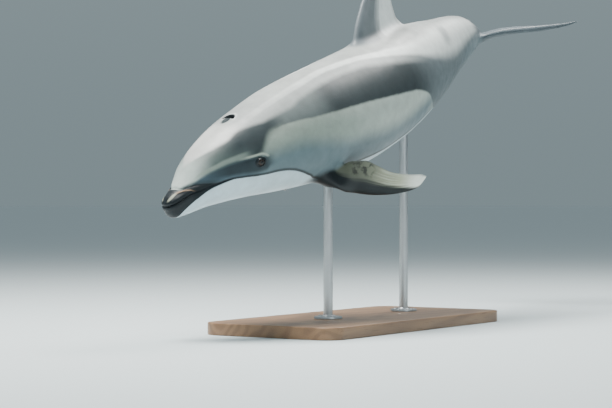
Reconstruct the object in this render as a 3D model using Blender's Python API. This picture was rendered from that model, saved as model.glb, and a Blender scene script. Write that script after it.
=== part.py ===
# Life-size Pacific white-sided dolphin, diving and turning to its right, on a plain display stand.
# Metres, +Z up. The floor is z = 0, the head points towards -Y and the left side towards +X.

import math

import bmesh
import bpy
import numpy as np

# ---- driving dimensions ----
LENGTH = 2.10             # tip of the beak to the notch of the flukes, along the backbone
ANCHOR_STATION = 42.0     # this station of the backbone stands over the origin
ANCHOR_HEIGHT = 0.68      # its height over the floor
GAP = 0.0003              # clearance between neighbouring solids
AROUND = 32               # corners of a body section

# The backbone, by station in percent of LENGTH.
TURN = (                  # degrees to the right, tailwards
    (10, -20.0), (30, -2.0), (50, 1.0), (70, 9.0), (92, 16.0),
)
RISE = (                  # degrees up, tailwards
    (10, 22.6), (30, 17.0), (50, 19.8), (70, 18.4), (88, 9.0), (98, 8.5),
)
ROLL = ((30, -2.7), (90, 4.5))      # degrees, left side up

# The body's sections: station, top, bottom and half width in percent of LENGTH, and how square each is.
BODY = (
    (0.0, 0.12, -1.45, 0.75, 2.1),
    (0.35, 0.42, -2.20, 1.20, 2.2),
    (1.0, 0.72, -2.58, 1.62, 2.2),
    (2.2, 1.12, -2.72, 2.15, 2.2),
    (3.2, 1.80, -2.76, 2.65, 2.2),
    (5.0, 3.42, -2.86, 3.50, 2.15),
    (8.0, 4.98, -3.32, 4.58, 2.15),
    (12.0, 6.38, -4.12, 5.45, 2.15),
    (16.0, 7.25, -5.05, 6.10, 2.1),
    (22.0, 8.22, -6.15, 6.90, 2.05),
    (30.0, 8.66, -7.15, 7.50, 2.0),
    (38.0, 8.80, -7.50, 7.65, 2.0),
    (46.0, 8.72, -7.30, 7.35, 2.0),
    (54.0, 8.45, -6.80, 6.55, 1.95),
    (62.0, 7.40, -5.95, 5.45, 1.9),
    (70.0, 5.95, -4.85, 4.20, 1.85),
    (78.0, 4.75, -4.00, 3.15, 1.8),
    (86.0, 3.60, -2.95, 2.20, 1.75),
    (92.0, 2.25, -1.80, 1.45, 1.75),
    (96.0, 1.15, -1.05, 0.90, 1.9),
    (98.0, 0.50, -0.50, 0.45, 2.0),
)
MOUTH = ((0, -0.70), (1.5, -0.35), (3.3, 0.10), (5.8, 0.25), (9.0, 0.18))  # height of the mouth line

BEAK_END = 2.6            # crease between the beak and the melon
GAPE_END = 9.0            # corner of the mouth
HEAD_END = 17.5
NECK_END = 21.0
CHEST_END = 34.0
MIDBODY_END = 47.0
LOIN_END = 62.0
STOCK_FRONT_END = 78.0
BODY_END = 98.0

EYE_STATION = 12.6
EYE_ANGLE = 92.0          # degrees round the section from its top
EYE_RADIUS = 0.015
EYE_SHOWS = 0.0062        # how far the eyeball stands out of its socket
BLOWHOLE_STATION = 13.9
BLOWHOLE_RADIUS = 0.023
BLOWHOLE_SLOT = 0.0035
BLOWHOLE_DEPTH = 0.007

FIN_STATION = 43.0        # front of the dorsal fin's base
FIN_HEIGHT = 10.6         # percent of LENGTH, over the back
FIN_LEAD = ((0.0, 0.0), (0.24, 1.5), (0.40, 3.0), (0.56, 4.9), (0.75, 7.9), (0.90, 11.6), (1.0, 16.0))
FIN_TRAIL = ((0.0, 13.9), (0.18, 13.3), (0.35, 13.0), (0.50, 13.0), (0.70, 13.7), (0.88, 15.3), (1.0, 17.0))
FIN_THICK = ((0.0, 1.90), (0.5, 1.20), (0.85, 0.65), (1.0, 0.30))

FLIPPER_STATION = 24.9    # middle of the flipper's root
FLIPPER_ANGLE = 143.0     # degrees round the section from its top
FLIPPER_SPAN = 14.3
FLIPPER_REACH = (10.0, 9.0, -2.95)      # towards the tail, out to the side, up
FLIPPER_CHORD = (-0.5, 2.0, 5.0)        # front edge to rear edge along the blade
FLIPPER_ROOT_CHORD = (3.4, 0.4, 1.0)    # the same at the root
FLIPPER_LEAD = ((0.0, -1.9), (0.12, -2.1), (0.24, -2.65), (0.37, -3.1), (0.50, -3.25), (0.64, -3.15),
                (0.75, -2.9), (0.84, -2.55), (0.94, -1.8), (1.0, -0.6))
FLIPPER_TRAIL = ((0.0, 1.3), (0.12, 1.4), (0.24, 2.1), (0.36, 2.4), (0.49, 1.6), (0.64, 0.6),
                 (0.75, 0.3), (0.84, 0.25), (0.94, 0.3), (1.0, 0.15))
FLIPPER_THICK = ((0.0, 1.35), (0.3, 1.05), (0.7, 0.65), (1.0, 0.28))

FLUKE_STATION = 94.0      # the flukes lie level with the body here
FLUKE_SPAN = 16.55        # backbone to the tip of one fluke
FLUKE_LEAD = ((0.0, 86.5), (0.08, 87.6), (0.16, 90.0), (0.30, 92.3), (0.50, 94.9), (0.70, 97.3),
              (0.88, 99.6), (1.0, 101.4))
FLUKE_TRAIL = ((0.0, 99.3), (0.10, 99.9), (0.30, 99.7), (0.50, 99.4), (0.75, 99.9), (0.90, 100.9),
               (1.0, 102.0))
FLUKE_LIFT = ((0.0, -0.45), (0.08, -0.38), (0.17, 0.02), (0.31, 0.26), (0.45, 0.20), (0.60, 0.06),
              (0.75, 0.02), (0.88, 0.08), (1.0, 0.33))   # how the blades bow
FLUKE_THICK = ((0.0, 1.55), (0.15, 1.35), (0.5, 1.10), (0.75, 0.80), (0.9, 0.50), (1.0, 0.30))

BASE_SIZE = (0.46, 1.04, 0.036)   # width, length and thickness of the stand's base
BASE_CORNER = 0.06
BASE_EDGE = 0.004
ROD_STATIONS = (33.0, 56.0)
ROD_RADIUS = 0.014
FLANGE_RADIUS = 0.042
FLANGE_HEIGHT = 0.012

PERCENT = LENGTH / 100.0


# ---- small helpers ----
def clear_scene():
    for thing in list(bpy.data.objects):
        bpy.data.objects.remove(thing, do_unlink=True)


def curve(table, x):
    """Smooth curve through the rows of a table, with no overshoot between them."""
    xs = np.array([row[0] for row in table], float)
    ys = np.array([row[1] for row in table], float)
    steps = np.diff(xs)
    slopes = np.diff(ys) / steps
    tangents = np.zeros(len(xs))
    for i in range(1, len(xs) - 1):
        if slopes[i - 1] * slopes[i] > 0:
            a = 2 * steps[i] + steps[i - 1]
            b = steps[i] + 2 * steps[i - 1]
            tangents[i] = (a + b) / (a / slopes[i - 1] + b / slopes[i])
    tangents[0] = slopes[0]
    tangents[-1] = slopes[-1]
    x = np.clip(np.asarray(x, float), xs[0], xs[-1])
    i = np.clip(np.searchsorted(xs, x, side="right") - 1, 0, len(xs) - 2)
    t = (x - xs[i]) / steps[i]
    return (
        (1 + 2 * t) * (1 - t) ** 2 * ys[i]
        + t * (1 - t) ** 2 * steps[i] * tangents[i]
        + t * t * (3 - 2 * t) * ys[i + 1]
        + t * t * (t - 1) * steps[i] * tangents[i + 1]
    )


def unit(vector):
    vector = np.asarray(vector, float)
    return vector / np.linalg.norm(vector)


# ---- the backbone ----
def axes_at(station):
    """Tailwards, left and up directions of the body at a station."""
    turn = math.radians(float(curve(TURN, station)))
    rise = math.radians(float(curve(RISE, station)))
    roll = math.radians(float(curve(ROLL, station)))
    back = np.array([-math.sin(turn) * math.cos(rise), math.cos(turn) * math.cos(rise), math.sin(rise)])
    left = np.array([math.cos(turn), math.sin(turn), 0.0])
    up = np.cross(left, back)
    return back, left * math.cos(roll) + up * math.sin(roll), up * math.cos(roll) - left * math.sin(roll)


STEPS = np.linspace(-4.0, 104.0, 433)
SPINE = np.zeros((len(STEPS), 3))
for n in range(1, len(STEPS)):
    middle = (STEPS[n] + STEPS[n - 1]) / 2
    SPINE[n] = SPINE[n - 1] + axes_at(middle)[0] * (STEPS[n] - STEPS[n - 1]) * PERCENT
SPINE -= [np.interp(ANCHOR_STATION, STEPS, SPINE[:, k]) for k in range(3)]
SPINE[:, 2] += ANCHOR_HEIGHT


def spine_at(station):
    return np.array([np.interp(station, STEPS, SPINE[:, k]) for k in range(3)])


def body_point(station, side, height):
    """A point beside the backbone: side and height in metres."""
    _, left, up = axes_at(station)
    return spine_at(station) + left * side + up * height


# ---- the body's sections ----
def section(station, angles, grow=0.0):
    """Side and height, in metres, of the skin at these angles from the top of a section."""
    top, bottom, half, square = (
        float(curve([(row[0], row[k]) for row in BODY], station)) for k in (1, 2, 3, 4)
    )
    middle = bottom + (top - bottom) * 0.49
    sine, cosine = np.sin(angles), np.cos(angles)
    power = 2.0 / square
    side = np.sign(sine) * np.abs(sine) ** power * (half * PERCENT + grow)
    rise = np.sign(cosine) * np.abs(cosine) ** power
    height = middle * PERCENT + np.where(
        rise > 0, rise * ((top - middle) * PERCENT + grow), rise * ((middle - bottom) * PERCENT + grow)
    )
    return side, height


def body_ring(station, grow=0.0):
    angles = np.linspace(0, 2 * math.pi, AROUND, endpoint=False)
    side, height = section(station, angles, grow)
    _, left, up = axes_at(station)
    return spine_at(station) + np.outer(side, left) + np.outer(height, up)


def skin_point(station, degrees):
    """A point of the skin and the direction straight out of it."""
    angle = math.radians(degrees)
    around = np.array([angle - 0.02, angle, angle + 0.02])
    side, height = section(station, around)
    here = body_point(station, side[1], height[1])
    along_ring = body_point(station, side[2], height[2]) - body_point(station, side[0], height[0])
    ahead = section(station - 0.5, around)
    behind = section(station + 0.5, around)
    along_body = body_point(station + 0.5, behind[0][1], behind[1][1])
    along_body = along_body - body_point(station - 0.5, ahead[0][1], ahead[1][1])
    out = unit(np.cross(along_body, along_ring))
    inside = spine_at(station)
    return here, out if np.dot(out, here - inside) > 0 else -out


# ---- meshes ----
def add_mesh(name, points, faces, colour, roughness=0.5, metallic=0.0):
    mesh = bpy.data.meshes.new(name)
    mesh.from_pydata([tuple(map(float, p)) for p in points], [], faces)
    shell = bmesh.new()
    shell.from_mesh(mesh)
    bmesh.ops.recalc_face_normals(shell, faces=shell.faces)
    shell.to_mesh(mesh)
    shell.free()
    thing = bpy.data.objects.new(name, mesh)
    bpy.context.scene.collection.objects.link(thing)
    material = bpy.data.materials.new(name)
    material.use_nodes = True
    shader = material.node_tree.nodes["Principled BSDF"]
    shader.inputs["Base Color"].default_value = (*colour, 1.0)
    shader.inputs["Roughness"].default_value = roughness
    shader.inputs["Metallic"].default_value = metallic
    mesh.materials.append(material)
    return thing


def loft(name, rings, colour, **look):
    """A closed solid through rings of equal length, with a flat cap at each end."""
    count = len(rings[0])
    points = np.concatenate(rings)
    faces = [tuple(range(count)), tuple(range(len(points) - count, len(points)))]
    for r in range(len(rings) - 1):
        for k in range(count):
            m = (k + 1) % count
            faces.append((r * count + k, r * count + m, (r + 1) * count + m, (r + 1) * count + k))
    return add_mesh(name, points, faces, colour, **look)


def boolean(thing, cutter, operation="DIFFERENCE"):
    step = thing.modifiers.new(operation.lower() + "_" + cutter.name, "BOOLEAN")
    step.operation = operation
    step.solver = "EXACT"
    step.object = cutter
    cutter.hide_render = True
    cutter.display_type = "WIRE"


def body_piece(name, start, end, rings, colour, nose=False):
    stations = np.linspace(start, end - GAP / PERCENT, rings)
    if nose:
        stations = start + (stations - start) * np.linspace(0.25, 1.0, rings)
    return loft(name, [body_ring(s) for s in stations], colour)


# ---- colours ----
BLACK = (0.02, 0.02, 0.024)
DARK = (0.07, 0.08, 0.09)
GREY = (0.22, 0.24, 0.25)
PALE = (0.52, 0.54, 0.54)
WOOD = (0.42, 0.27, 0.15)
STEEL = (0.60, 0.60, 0.61)

clear_scene()

# ---- the whole body, a little swollen, which trims the fins and the rods ----
trim_stations = np.concatenate([np.linspace(0, 10, 14), np.linspace(12, 96, 43), [BODY_END]])
body_trim = loft("body_trim", [body_ring(s, GAP) for s in trim_stations], GREY)


# ---- the jaws and the melon: the front of the head, parted along the mouth line ----
def mouth_block(name, towards):
    """A block with one face on the mouth line, reaching clear of the jaw above or below it."""
    rings = []
    for s in np.linspace(-1.0, GAPE_END + 1.0, 15):
        line = float(curve(MOUTH, s)) * PERCENT + towards * GAP / 2
        far = line + towards * 0.2
        rings.append([body_point(s, side, z) for side, z in ((0.2, line), (-0.2, line), (-0.2, far), (0.2, far))])
    block = loft(name, [np.array(r) for r in rings], GREY)
    block.hide_render = True
    block.display_type = "WIRE"
    return block


above_mouth = mouth_block("above_mouth", 1.0)
below_mouth = mouth_block("below_mouth", -1.0)

upper_beak = body_piece("upper_beak", 0.0, BEAK_END, 7, BLACK, nose=True)
boolean(upper_beak, above_mouth, "INTERSECT")

melon = body_piece("melon", BEAK_END, GAPE_END, 9, GREY)
boolean(melon, above_mouth, "INTERSECT")

lower_jaw = body_piece("lower_jaw", 0.0, GAPE_END, 13, BLACK, nose=True)
boolean(lower_jaw, below_mouth, "INTERSECT")

# ---- the head behind the mouth, with its eye sockets and blowhole ----
head = body_piece("head", GAPE_END, HEAD_END, 10, GREY)


def ball(name, centre, radius, colour, around=16, up=10, **look):
    points = [centre + np.array([0, 0, radius])]
    for i in range(1, up):
        tilt = math.pi * i / up
        for k in range(around):
            turn = 2 * math.pi * k / around
            points.append(centre + radius * np.array(
                [math.sin(tilt) * math.cos(turn), math.sin(tilt) * math.sin(turn), math.cos(tilt)]))
    points.append(centre - np.array([0, 0, radius]))
    faces = [(0, 1 + k, 1 + (k + 1) % around) for k in range(around)]
    for i in range(up - 2):
        for k in range(around):
            m = (k + 1) % around
            faces.append((1 + i * around + k, 1 + (i + 1) * around + k,
                          1 + (i + 1) * around + m, 1 + i * around + m))
    last = len(points) - 1
    start = 1 + (up - 2) * around
    faces += [(last, start + (k + 1) % around, start + k) for k in range(around)]
    return add_mesh(name, points, faces, colour, **look)


for side_name, sign in (("left", 1), ("right", -1)):
    skin, out = skin_point(EYE_STATION, sign * EYE_ANGLE)
    centre = skin - out * (EYE_RADIUS - EYE_SHOWS)
    ball("eye_" + side_name, centre, EYE_RADIUS, BLACK, roughness=0.08)
    socket = ball("socket_" + side_name, centre, EYE_RADIUS + GAP, BLACK)
    boolean(head, socket)

crown, crown_out = skin_point(BLOWHOLE_STATION, 0.0)
crown_back, crown_left, _ = axes_at(BLOWHOLE_STATION)
crown_back = unit(crown_back - crown_out * np.dot(crown_back, crown_out))
arc_centre = crown - crown_back * BLOWHOLE_RADIUS
slot_rings = []
for degrees in np.linspace(-62, 62, 9):
    bearing = math.radians(degrees)
    ray = crown_back * math.cos(bearing) + crown_left * math.sin(bearing)
    half_slot = BLOWHOLE_SLOT / 2 * (1 - 0.45 * abs(degrees) / 62)
    slot_rings.append(np.array([
        arc_centre + ray * (BLOWHOLE_RADIUS - half_slot) + crown_out * 0.012,
        arc_centre + ray * (BLOWHOLE_RADIUS + half_slot) + crown_out * 0.012,
        arc_centre + ray * (BLOWHOLE_RADIUS + half_slot) - crown_out * BLOWHOLE_DEPTH,
        arc_centre + ray * (BLOWHOLE_RADIUS - half_slot) - crown_out * BLOWHOLE_DEPTH,
    ]))
boolean(head, loft("blowhole_slot", slot_rings, BLACK))

# ---- neck, trunk and tail stock ----
body_piece("neck", HEAD_END, NECK_END, 4, GREY)
body_piece("chest", NECK_END, CHEST_END, 8, GREY)
body_piece("midbody", CHEST_END, MIDBODY_END, 7, GREY)
body_piece("loin", MIDBODY_END, LOIN_END, 8, GREY)
body_piece("tail_stock_front", LOIN_END, STOCK_FRONT_END, 9, GREY)
body_piece("tail_stock_rear", STOCK_FRONT_END, BODY_END, 12, DARK)


# ---- fins ----
def foil(count=8):
    """A rounded front edge and a thin rear edge: distance along the chord and half thickness, both 0 to 1."""
    along = 0.5 - 0.5 * np.cos(np.linspace(0, math.pi, count))
    thick = 1.1 * (2.9690 * np.sqrt(along) - 1.2600 * along - 3.5160 * along ** 2
                   + 2.8430 * along ** 3 - 1.0150 * along ** 4)
    thick = np.maximum(thick, 0.10)
    return along, thick


def blade_ring(front, rear, normal, thickness):
    """One closed foil section between two edge points."""
    along, thick = foil()
    upper = [front + (rear - front) * a + normal * thickness / 2 * t for a, t in zip(along, thick)]
    lower = [front + (rear - front) * a - normal * thickness / 2 * t for a, t in zip(along, thick)]
    return np.array(upper + lower[::-1])


# The dorsal fin stands on the back. Its first sections are inside the body and are trimmed off.
fin_base_station = FIN_STATION + 7.0
fin_base = spine_at(fin_base_station)
fin_back, fin_left, fin_up = axes_at(fin_base_station)
fin_foot = float(curve([(row[0], row[1]) for row in BODY], fin_base_station))
fin_rings = []
for share in (-0.20, -0.08, 0.0, 0.10, 0.20, 0.32, 0.45, 0.58, 0.70, 0.80, 0.88, 0.94, 0.98, 1.0):
    lead = FIN_STATION + float(curve(FIN_LEAD, share))
    trail = FIN_STATION + float(curve(FIN_TRAIL, share))
    level = fin_base + fin_up * (fin_foot + share * FIN_HEIGHT) * PERCENT
    front = level + fin_back * (lead - fin_base_station) * PERCENT
    rear = level + fin_back * (trail - fin_base_station) * PERCENT
    thickness = float(curve(FIN_THICK, share)) * PERCENT
    fin_rings.append(blade_ring(front, rear, fin_left, thickness))
dorsal_fin = loft("dorsal_fin", fin_rings, DARK)
boolean(dorsal_fin, body_trim)


def flipper(name, sign):
    back_axis, left_axis, up_axis = axes_at(FLIPPER_STATION)
    side, height = section(FLIPPER_STATION, np.array([math.radians(FLIPPER_ANGLE)]))
    root = body_point(FLIPPER_STATION, sign * side[0], height[0])

    def towards(vector):
        return unit(back_axis * vector[0] + left_axis * sign * vector[1] + up_axis * vector[2])

    reach = towards(FLIPPER_REACH)
    chord_far = towards(FLIPPER_CHORD)
    chord_near = towards(FLIPPER_ROOT_CHORD)
    rings = []
    for share in (-0.16, -0.08, 0.0, 0.06, 0.12, 0.18, 0.26, 0.36, 0.48, 0.60, 0.72, 0.82, 0.90, 0.96, 1.0):
        turn = min(1.0, max(0.0, share / 0.34))
        turn = turn * turn * (3 - 2 * turn)
        chord = chord_near * (1 - turn) + chord_far * turn
        chord = unit(chord - reach * np.dot(chord, reach))
        normal = unit(np.cross(reach, chord))
        middle_point = root + reach * share * FLIPPER_SPAN * PERCENT
        front = middle_point + chord * float(curve(FLIPPER_LEAD, share)) * PERCENT
        rear = middle_point + chord * float(curve(FLIPPER_TRAIL, share)) * PERCENT
        thickness = float(curve(FLIPPER_THICK, share)) * PERCENT
        rings.append(blade_ring(front, rear, normal, thickness))
    blade = loft(name, rings, DARK)
    boolean(blade, body_trim)
    return blade


flipper("flipper_left", 1)
flipper("flipper_right", -1)


def fluke(name, sign):
    """One half of the tail fin, from the middle plane out to its tip."""
    middle = spine_at(FLUKE_STATION)
    back_axis, left_axis, up_axis = axes_at(FLUKE_STATION)
    rings = []
    for share in (0.0, 0.05, 0.10, 0.16, 0.23, 0.31, 0.40, 0.50, 0.60, 0.70, 0.80, 0.88, 0.94, 0.98, 1.0):
        lead = float(curve(FLUKE_LEAD, share))
        trail = float(curve(FLUKE_TRAIL, share))
        base = middle + left_axis * sign * (GAP / 2 + share * FLUKE_SPAN * PERCENT)
        base = base + up_axis * float(curve(FLUKE_LIFT, share)) * PERCENT
        front = base + back_axis * (lead - FLUKE_STATION) * PERCENT
        rear = base + back_axis * (trail - FLUKE_STATION) * PERCENT
        thickness = float(curve(FLUKE_THICK, share)) * PERCENT
        rings.append(blade_ring(front, rear, up_axis, thickness))
    blade = loft(name, rings, DARK)
    boolean(blade, body_trim)
    return blade


fluke("fluke_left", 1)
fluke("fluke_right", -1)


# ---- the display stand ----
def disc_ring(centre, radius, z, count=24):
    turns = np.linspace(0, 2 * math.pi, count, endpoint=False)
    return np.stack([centre[0] + radius * np.cos(turns), centre[1] + radius * np.sin(turns),
                     np.full(count, z)], axis=1)


def plate_ring(inset, z):
    """A rounded rectangle at one height."""
    points = []
    half_x, half_y = BASE_SIZE[0] / 2 - BASE_CORNER, BASE_SIZE[1] / 2 - BASE_CORNER
    for quarter, (sx, sy) in enumerate(((1, 1), (-1, 1), (-1, -1), (1, -1))):
        for k in range(7):
            turn = math.pi / 2 * (quarter + k / 6)
            points.append((sx * half_x + (BASE_CORNER - inset) * math.cos(turn),
                           sy * half_y + (BASE_CORNER - inset) * math.sin(turn), z))
    return np.array(points)


deck = BASE_SIZE[2]
loft("stand_base", [
    plate_ring(BASE_EDGE / 2, 0.0),
    plate_ring(0.0, BASE_EDGE / 2),
    plate_ring(0.0, deck - BASE_EDGE),
    plate_ring(BASE_EDGE * 0.3, deck - BASE_EDGE * 0.3),
    plate_ring(BASE_EDGE, deck),
], WOOD)

for place, station in zip(("front", "rear"), ROD_STATIONS):
    foot = spine_at(station)
    rod = loft("stand_rod_" + place,
               [disc_ring(foot, ROD_RADIUS, z) for z in (deck + GAP, deck + 0.03, foot[2])],
               STEEL, roughness=0.3, metallic=1.0)
    boolean(rod, body_trim)
    flange = loft("stand_flange_" + place,
                  [disc_ring(foot, FLANGE_RADIUS, deck + GAP),
                   disc_ring(foot, FLANGE_RADIUS, deck + FLANGE_HEIGHT - 0.002),
                   disc_ring(foot, FLANGE_RADIUS - 0.002, deck + FLANGE_HEIGHT)],
                  STEEL, roughness=0.3, metallic=1.0)
    bore = loft("flange_bore_" + place,
                [disc_ring(foot, ROD_RADIUS + GAP, z) for z in (deck - 0.01, deck + 0.03)], STEEL)
    boolean(flange, bore)
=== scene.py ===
# Pacific white-sided dolphin, diving and turning to its right, on a display stand.
# One painted skin over the whole animal, two glass eyes, turned steel rods and a wooden board.
import math

import bmesh
import bpy
import numpy as np
from mathutils import Matrix, Vector
from mathutils.kdtree import KDTree


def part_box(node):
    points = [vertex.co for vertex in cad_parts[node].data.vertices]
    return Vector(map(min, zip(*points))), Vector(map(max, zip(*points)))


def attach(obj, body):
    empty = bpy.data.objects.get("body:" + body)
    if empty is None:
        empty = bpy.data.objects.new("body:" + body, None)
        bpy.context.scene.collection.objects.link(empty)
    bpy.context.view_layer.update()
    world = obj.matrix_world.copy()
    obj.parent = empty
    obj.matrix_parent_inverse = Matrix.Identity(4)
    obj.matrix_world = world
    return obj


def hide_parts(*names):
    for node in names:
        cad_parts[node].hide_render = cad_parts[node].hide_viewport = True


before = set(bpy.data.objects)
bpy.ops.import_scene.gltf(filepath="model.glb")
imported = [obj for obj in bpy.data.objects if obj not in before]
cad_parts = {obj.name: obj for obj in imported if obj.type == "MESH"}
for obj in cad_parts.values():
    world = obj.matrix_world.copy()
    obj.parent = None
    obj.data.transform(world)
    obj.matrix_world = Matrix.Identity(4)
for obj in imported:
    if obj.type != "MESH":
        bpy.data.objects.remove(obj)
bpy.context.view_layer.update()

print("frame loaded,", len(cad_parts), "nodes")

# camera, lights and floor
studio = {
    "cameraPlace": (2.8784, -4.7373, 0.3797),
    "cameraTurn": (90.0, 0.0, 33.0),   # degrees
    "lens": 105.9, "sensor": 36.0,     # millimetres
    "clipEnd": 400.0,
    "floorColour": (0.53, 0.595, 0.61),
    "floorRadius": 300.0,
    "skyLow": (0.31, 0.40, 0.43),      # where it meets the floor
    "skyHigh": (0.54, 0.64, 0.68),
    "skyRise": (-0.01, 0.45),          # heights of the view between which the sky changes
    "skyStrength": 0.68,
    # name, place, aim, size, power, colour
    "lights": (
        ("topLight", (-0.7, -1.2, 3.9), (0.0, -0.2, 0.7), 1.9, 480.0, (1.0, 0.985, 0.95)),
        ("tailLight", (0.3, 2.6, 3.6), (0.0, 0.5, 0.85), 1.5, 120.0, (1.0, 0.99, 0.96)),
        ("sideFill", (4.6, -2.4, 1.9), (0.0, 0.0, 0.6), 2.4, 30.0, (0.86, 0.96, 1.0)),
    ),
}


def addLight(name, place, aim, size, power, colour):
    lamp = bpy.data.lights.new(name, "AREA")
    lamp.shape = "DISK"
    lamp.size = size
    lamp.energy = power
    lamp.color = colour
    holder = bpy.data.objects.new(name, lamp)
    holder.location = place
    holder.rotation_euler = (Vector(aim) - Vector(place)).to_track_quat("-Z", "Y").to_euler()
    bpy.context.scene.collection.objects.link(holder)


cameraData = bpy.data.cameras.new("mainCamera")
cameraData.sensor_width = studio["sensor"]
cameraData.lens = studio["lens"]
cameraData.clip_end = studio["clipEnd"]
camera = bpy.data.objects.new("mainCamera", cameraData)
camera.location = studio["cameraPlace"]
camera.rotation_euler = [math.radians(v) for v in studio["cameraTurn"]]
bpy.context.scene.collection.objects.link(camera)
bpy.context.scene.camera = camera
for row in studio["lights"]:
    addLight(*row)


# a short way to write node trees
class Recipe:
    def __init__(self, name=None, tree=None):
        if tree is None:
            self.material = bpy.data.materials.new(name)
            self.material.use_nodes = True
            tree = self.material.node_tree
            self.shader = tree.nodes["Principled BSDF"]
        self.tree = tree

    def add(self, kind, inputs=None, out=0, **settings):
        made = self.tree.nodes.new(kind)
        for key, value in settings.items():
            setattr(made, key, value)
        for key, value in (inputs or {}).items():
            self.feed(made.inputs[key], value)
        return made.outputs[out]

    def feed(self, socket, value):
        if isinstance(value, bpy.types.NodeSocket):
            self.tree.links.new(value, socket)
        elif isinstance(value, (tuple, list)) and len(value) == 3 and socket.type == "RGBA":
            socket.default_value = (*value, 1.0)
        else:
            socket.default_value = value

    def math(self, operation, a, b=0.0, clamp=False):
        return self.add("ShaderNodeMath", {0: a, 1: b}, operation=operation, use_clamp=clamp)

    def plus(self, a, b):
        return self.math("ADD", a, b)

    def minus(self, a, b):
        return self.math("SUBTRACT", a, b)

    def share(self, a, b):
        return self.math("DIVIDE", a, b)

    def apart(self, a, b):
        return self.math("ABSOLUTE", self.minus(a, b))

    def hypot(self, a, b):
        return self.math("SQRT", self.plus(self.math("POWER", a, 2.0), self.math("POWER", b, 2.0)))

    def times(self, *values):
        total = values[0]
        for value in values[1:]:
            total = self.math("MULTIPLY", total, value)
        return total

    def ease(self, value, low, high):
        # 0 at low, 1 at high, smooth between
        return self.add("ShaderNodeMapRange", {"Value": value, "From Min": low, "From Max": high},
                        interpolation_type="SMOOTHSTEP")

    def spread(self, value, low, high, start=0.3, end=0.7):
        # most noise lies between 0.3 and 0.7: that is drawn out to low..high
        return self.add("ShaderNodeMapRange", {"Value": value, "From Min": start, "From Max": end,
                                               "To Min": low, "To Max": high})

    def line(self, value, points, height=180.0):
        # a smooth curve through (position, value) points, from position 0 on, with values inside 0..height
        span = float(points[-1][0])
        share = self.math("DIVIDE", value, span, clamp=True)
        made = self.tree.nodes.new("ShaderNodeFloatCurve")
        course = made.mapping.curves[0]
        rows = [(p / span, v / height) for p, v in points]
        course.points[0].location = rows[0]
        course.points[1].location = rows[-1]
        for row in rows[1:-1]:
            course.points.new(*row)
        for point in course.points:
            point.handle_type = "AUTO_CLAMPED"
        made.mapping.update()
        self.tree.links.new(share, made.inputs["Value"])
        return self.times(made.outputs[0], height)

    def noise(self, place, scale, detail=3.0, roughness=0.5, stretch=None):
        if stretch is not None:
            place = self.add("ShaderNodeMapping", {"Vector": place, "Scale": stretch})
        return self.add("ShaderNodeTexNoise", {"Vector": place, "Scale": scale, "Detail": detail,
                                               "Roughness": roughness}, out="Fac")

    def blend(self, share, first, second, way="MIX"):
        return self.add("ShaderNodeMix", {0: share, 6: first, 7: second}, out=2, data_type="RGBA",
                        blend_type=way, clamp_factor=True)

    def lay(self, under, tone, *shares):
        # a tone over a colour, as strong as the product of the shares
        return self.blend(self.times(*shares), under, tone)

    def field(self, name):
        return self.add("ShaderNodeAttribute", out="Fac", attribute_name=name)

    def objectPlace(self):
        return self.add("ShaderNodeTexCoord", out="Object")

    def bump(self, height, strength, distance):
        made = self.add("ShaderNodeBump", {"Height": height, "Strength": strength, "Distance": distance})
        self.feed(self.shader.inputs["Normal"], made)

    def shade(self, **values):
        for key, value in values.items():
            self.feed(self.shader.inputs[key.replace("_", " ")], value)


world = bpy.data.worlds.new("studioWorld")
bpy.context.scene.world = world
world.use_nodes = True
background = world.node_tree.nodes["Background"].inputs
sky = Recipe(tree=world.node_tree)
skyLift = sky.add("ShaderNodeSeparateXYZ", {0: sky.add("ShaderNodeTexCoord", out="Generated")}, out=2)
sky.feed(background["Color"], sky.blend(sky.ease(skyLift, *studio["skyRise"]), studio["skyLow"],
                                        studio["skyHigh"]))
background["Strength"].default_value = studio["skyStrength"]

floorPaint = Recipe("studioFloor")
floorPaint.shade(Base_Color=studio["floorColour"], Roughness=0.9)
floorShell = bmesh.new()
bmesh.ops.create_circle(floorShell, cap_ends=True, segments=96, radius=studio["floorRadius"])
floorMesh = bpy.data.meshes.new("studioFloor")
floorShell.to_mesh(floorMesh)
floorShell.free()
floorMesh.materials.append(floorPaint.material)
studioFloor = bpy.data.objects.new("studioFloor", floorMesh)
bpy.context.scene.collection.objects.link(studioFloor)
print("studio ready")

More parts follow.
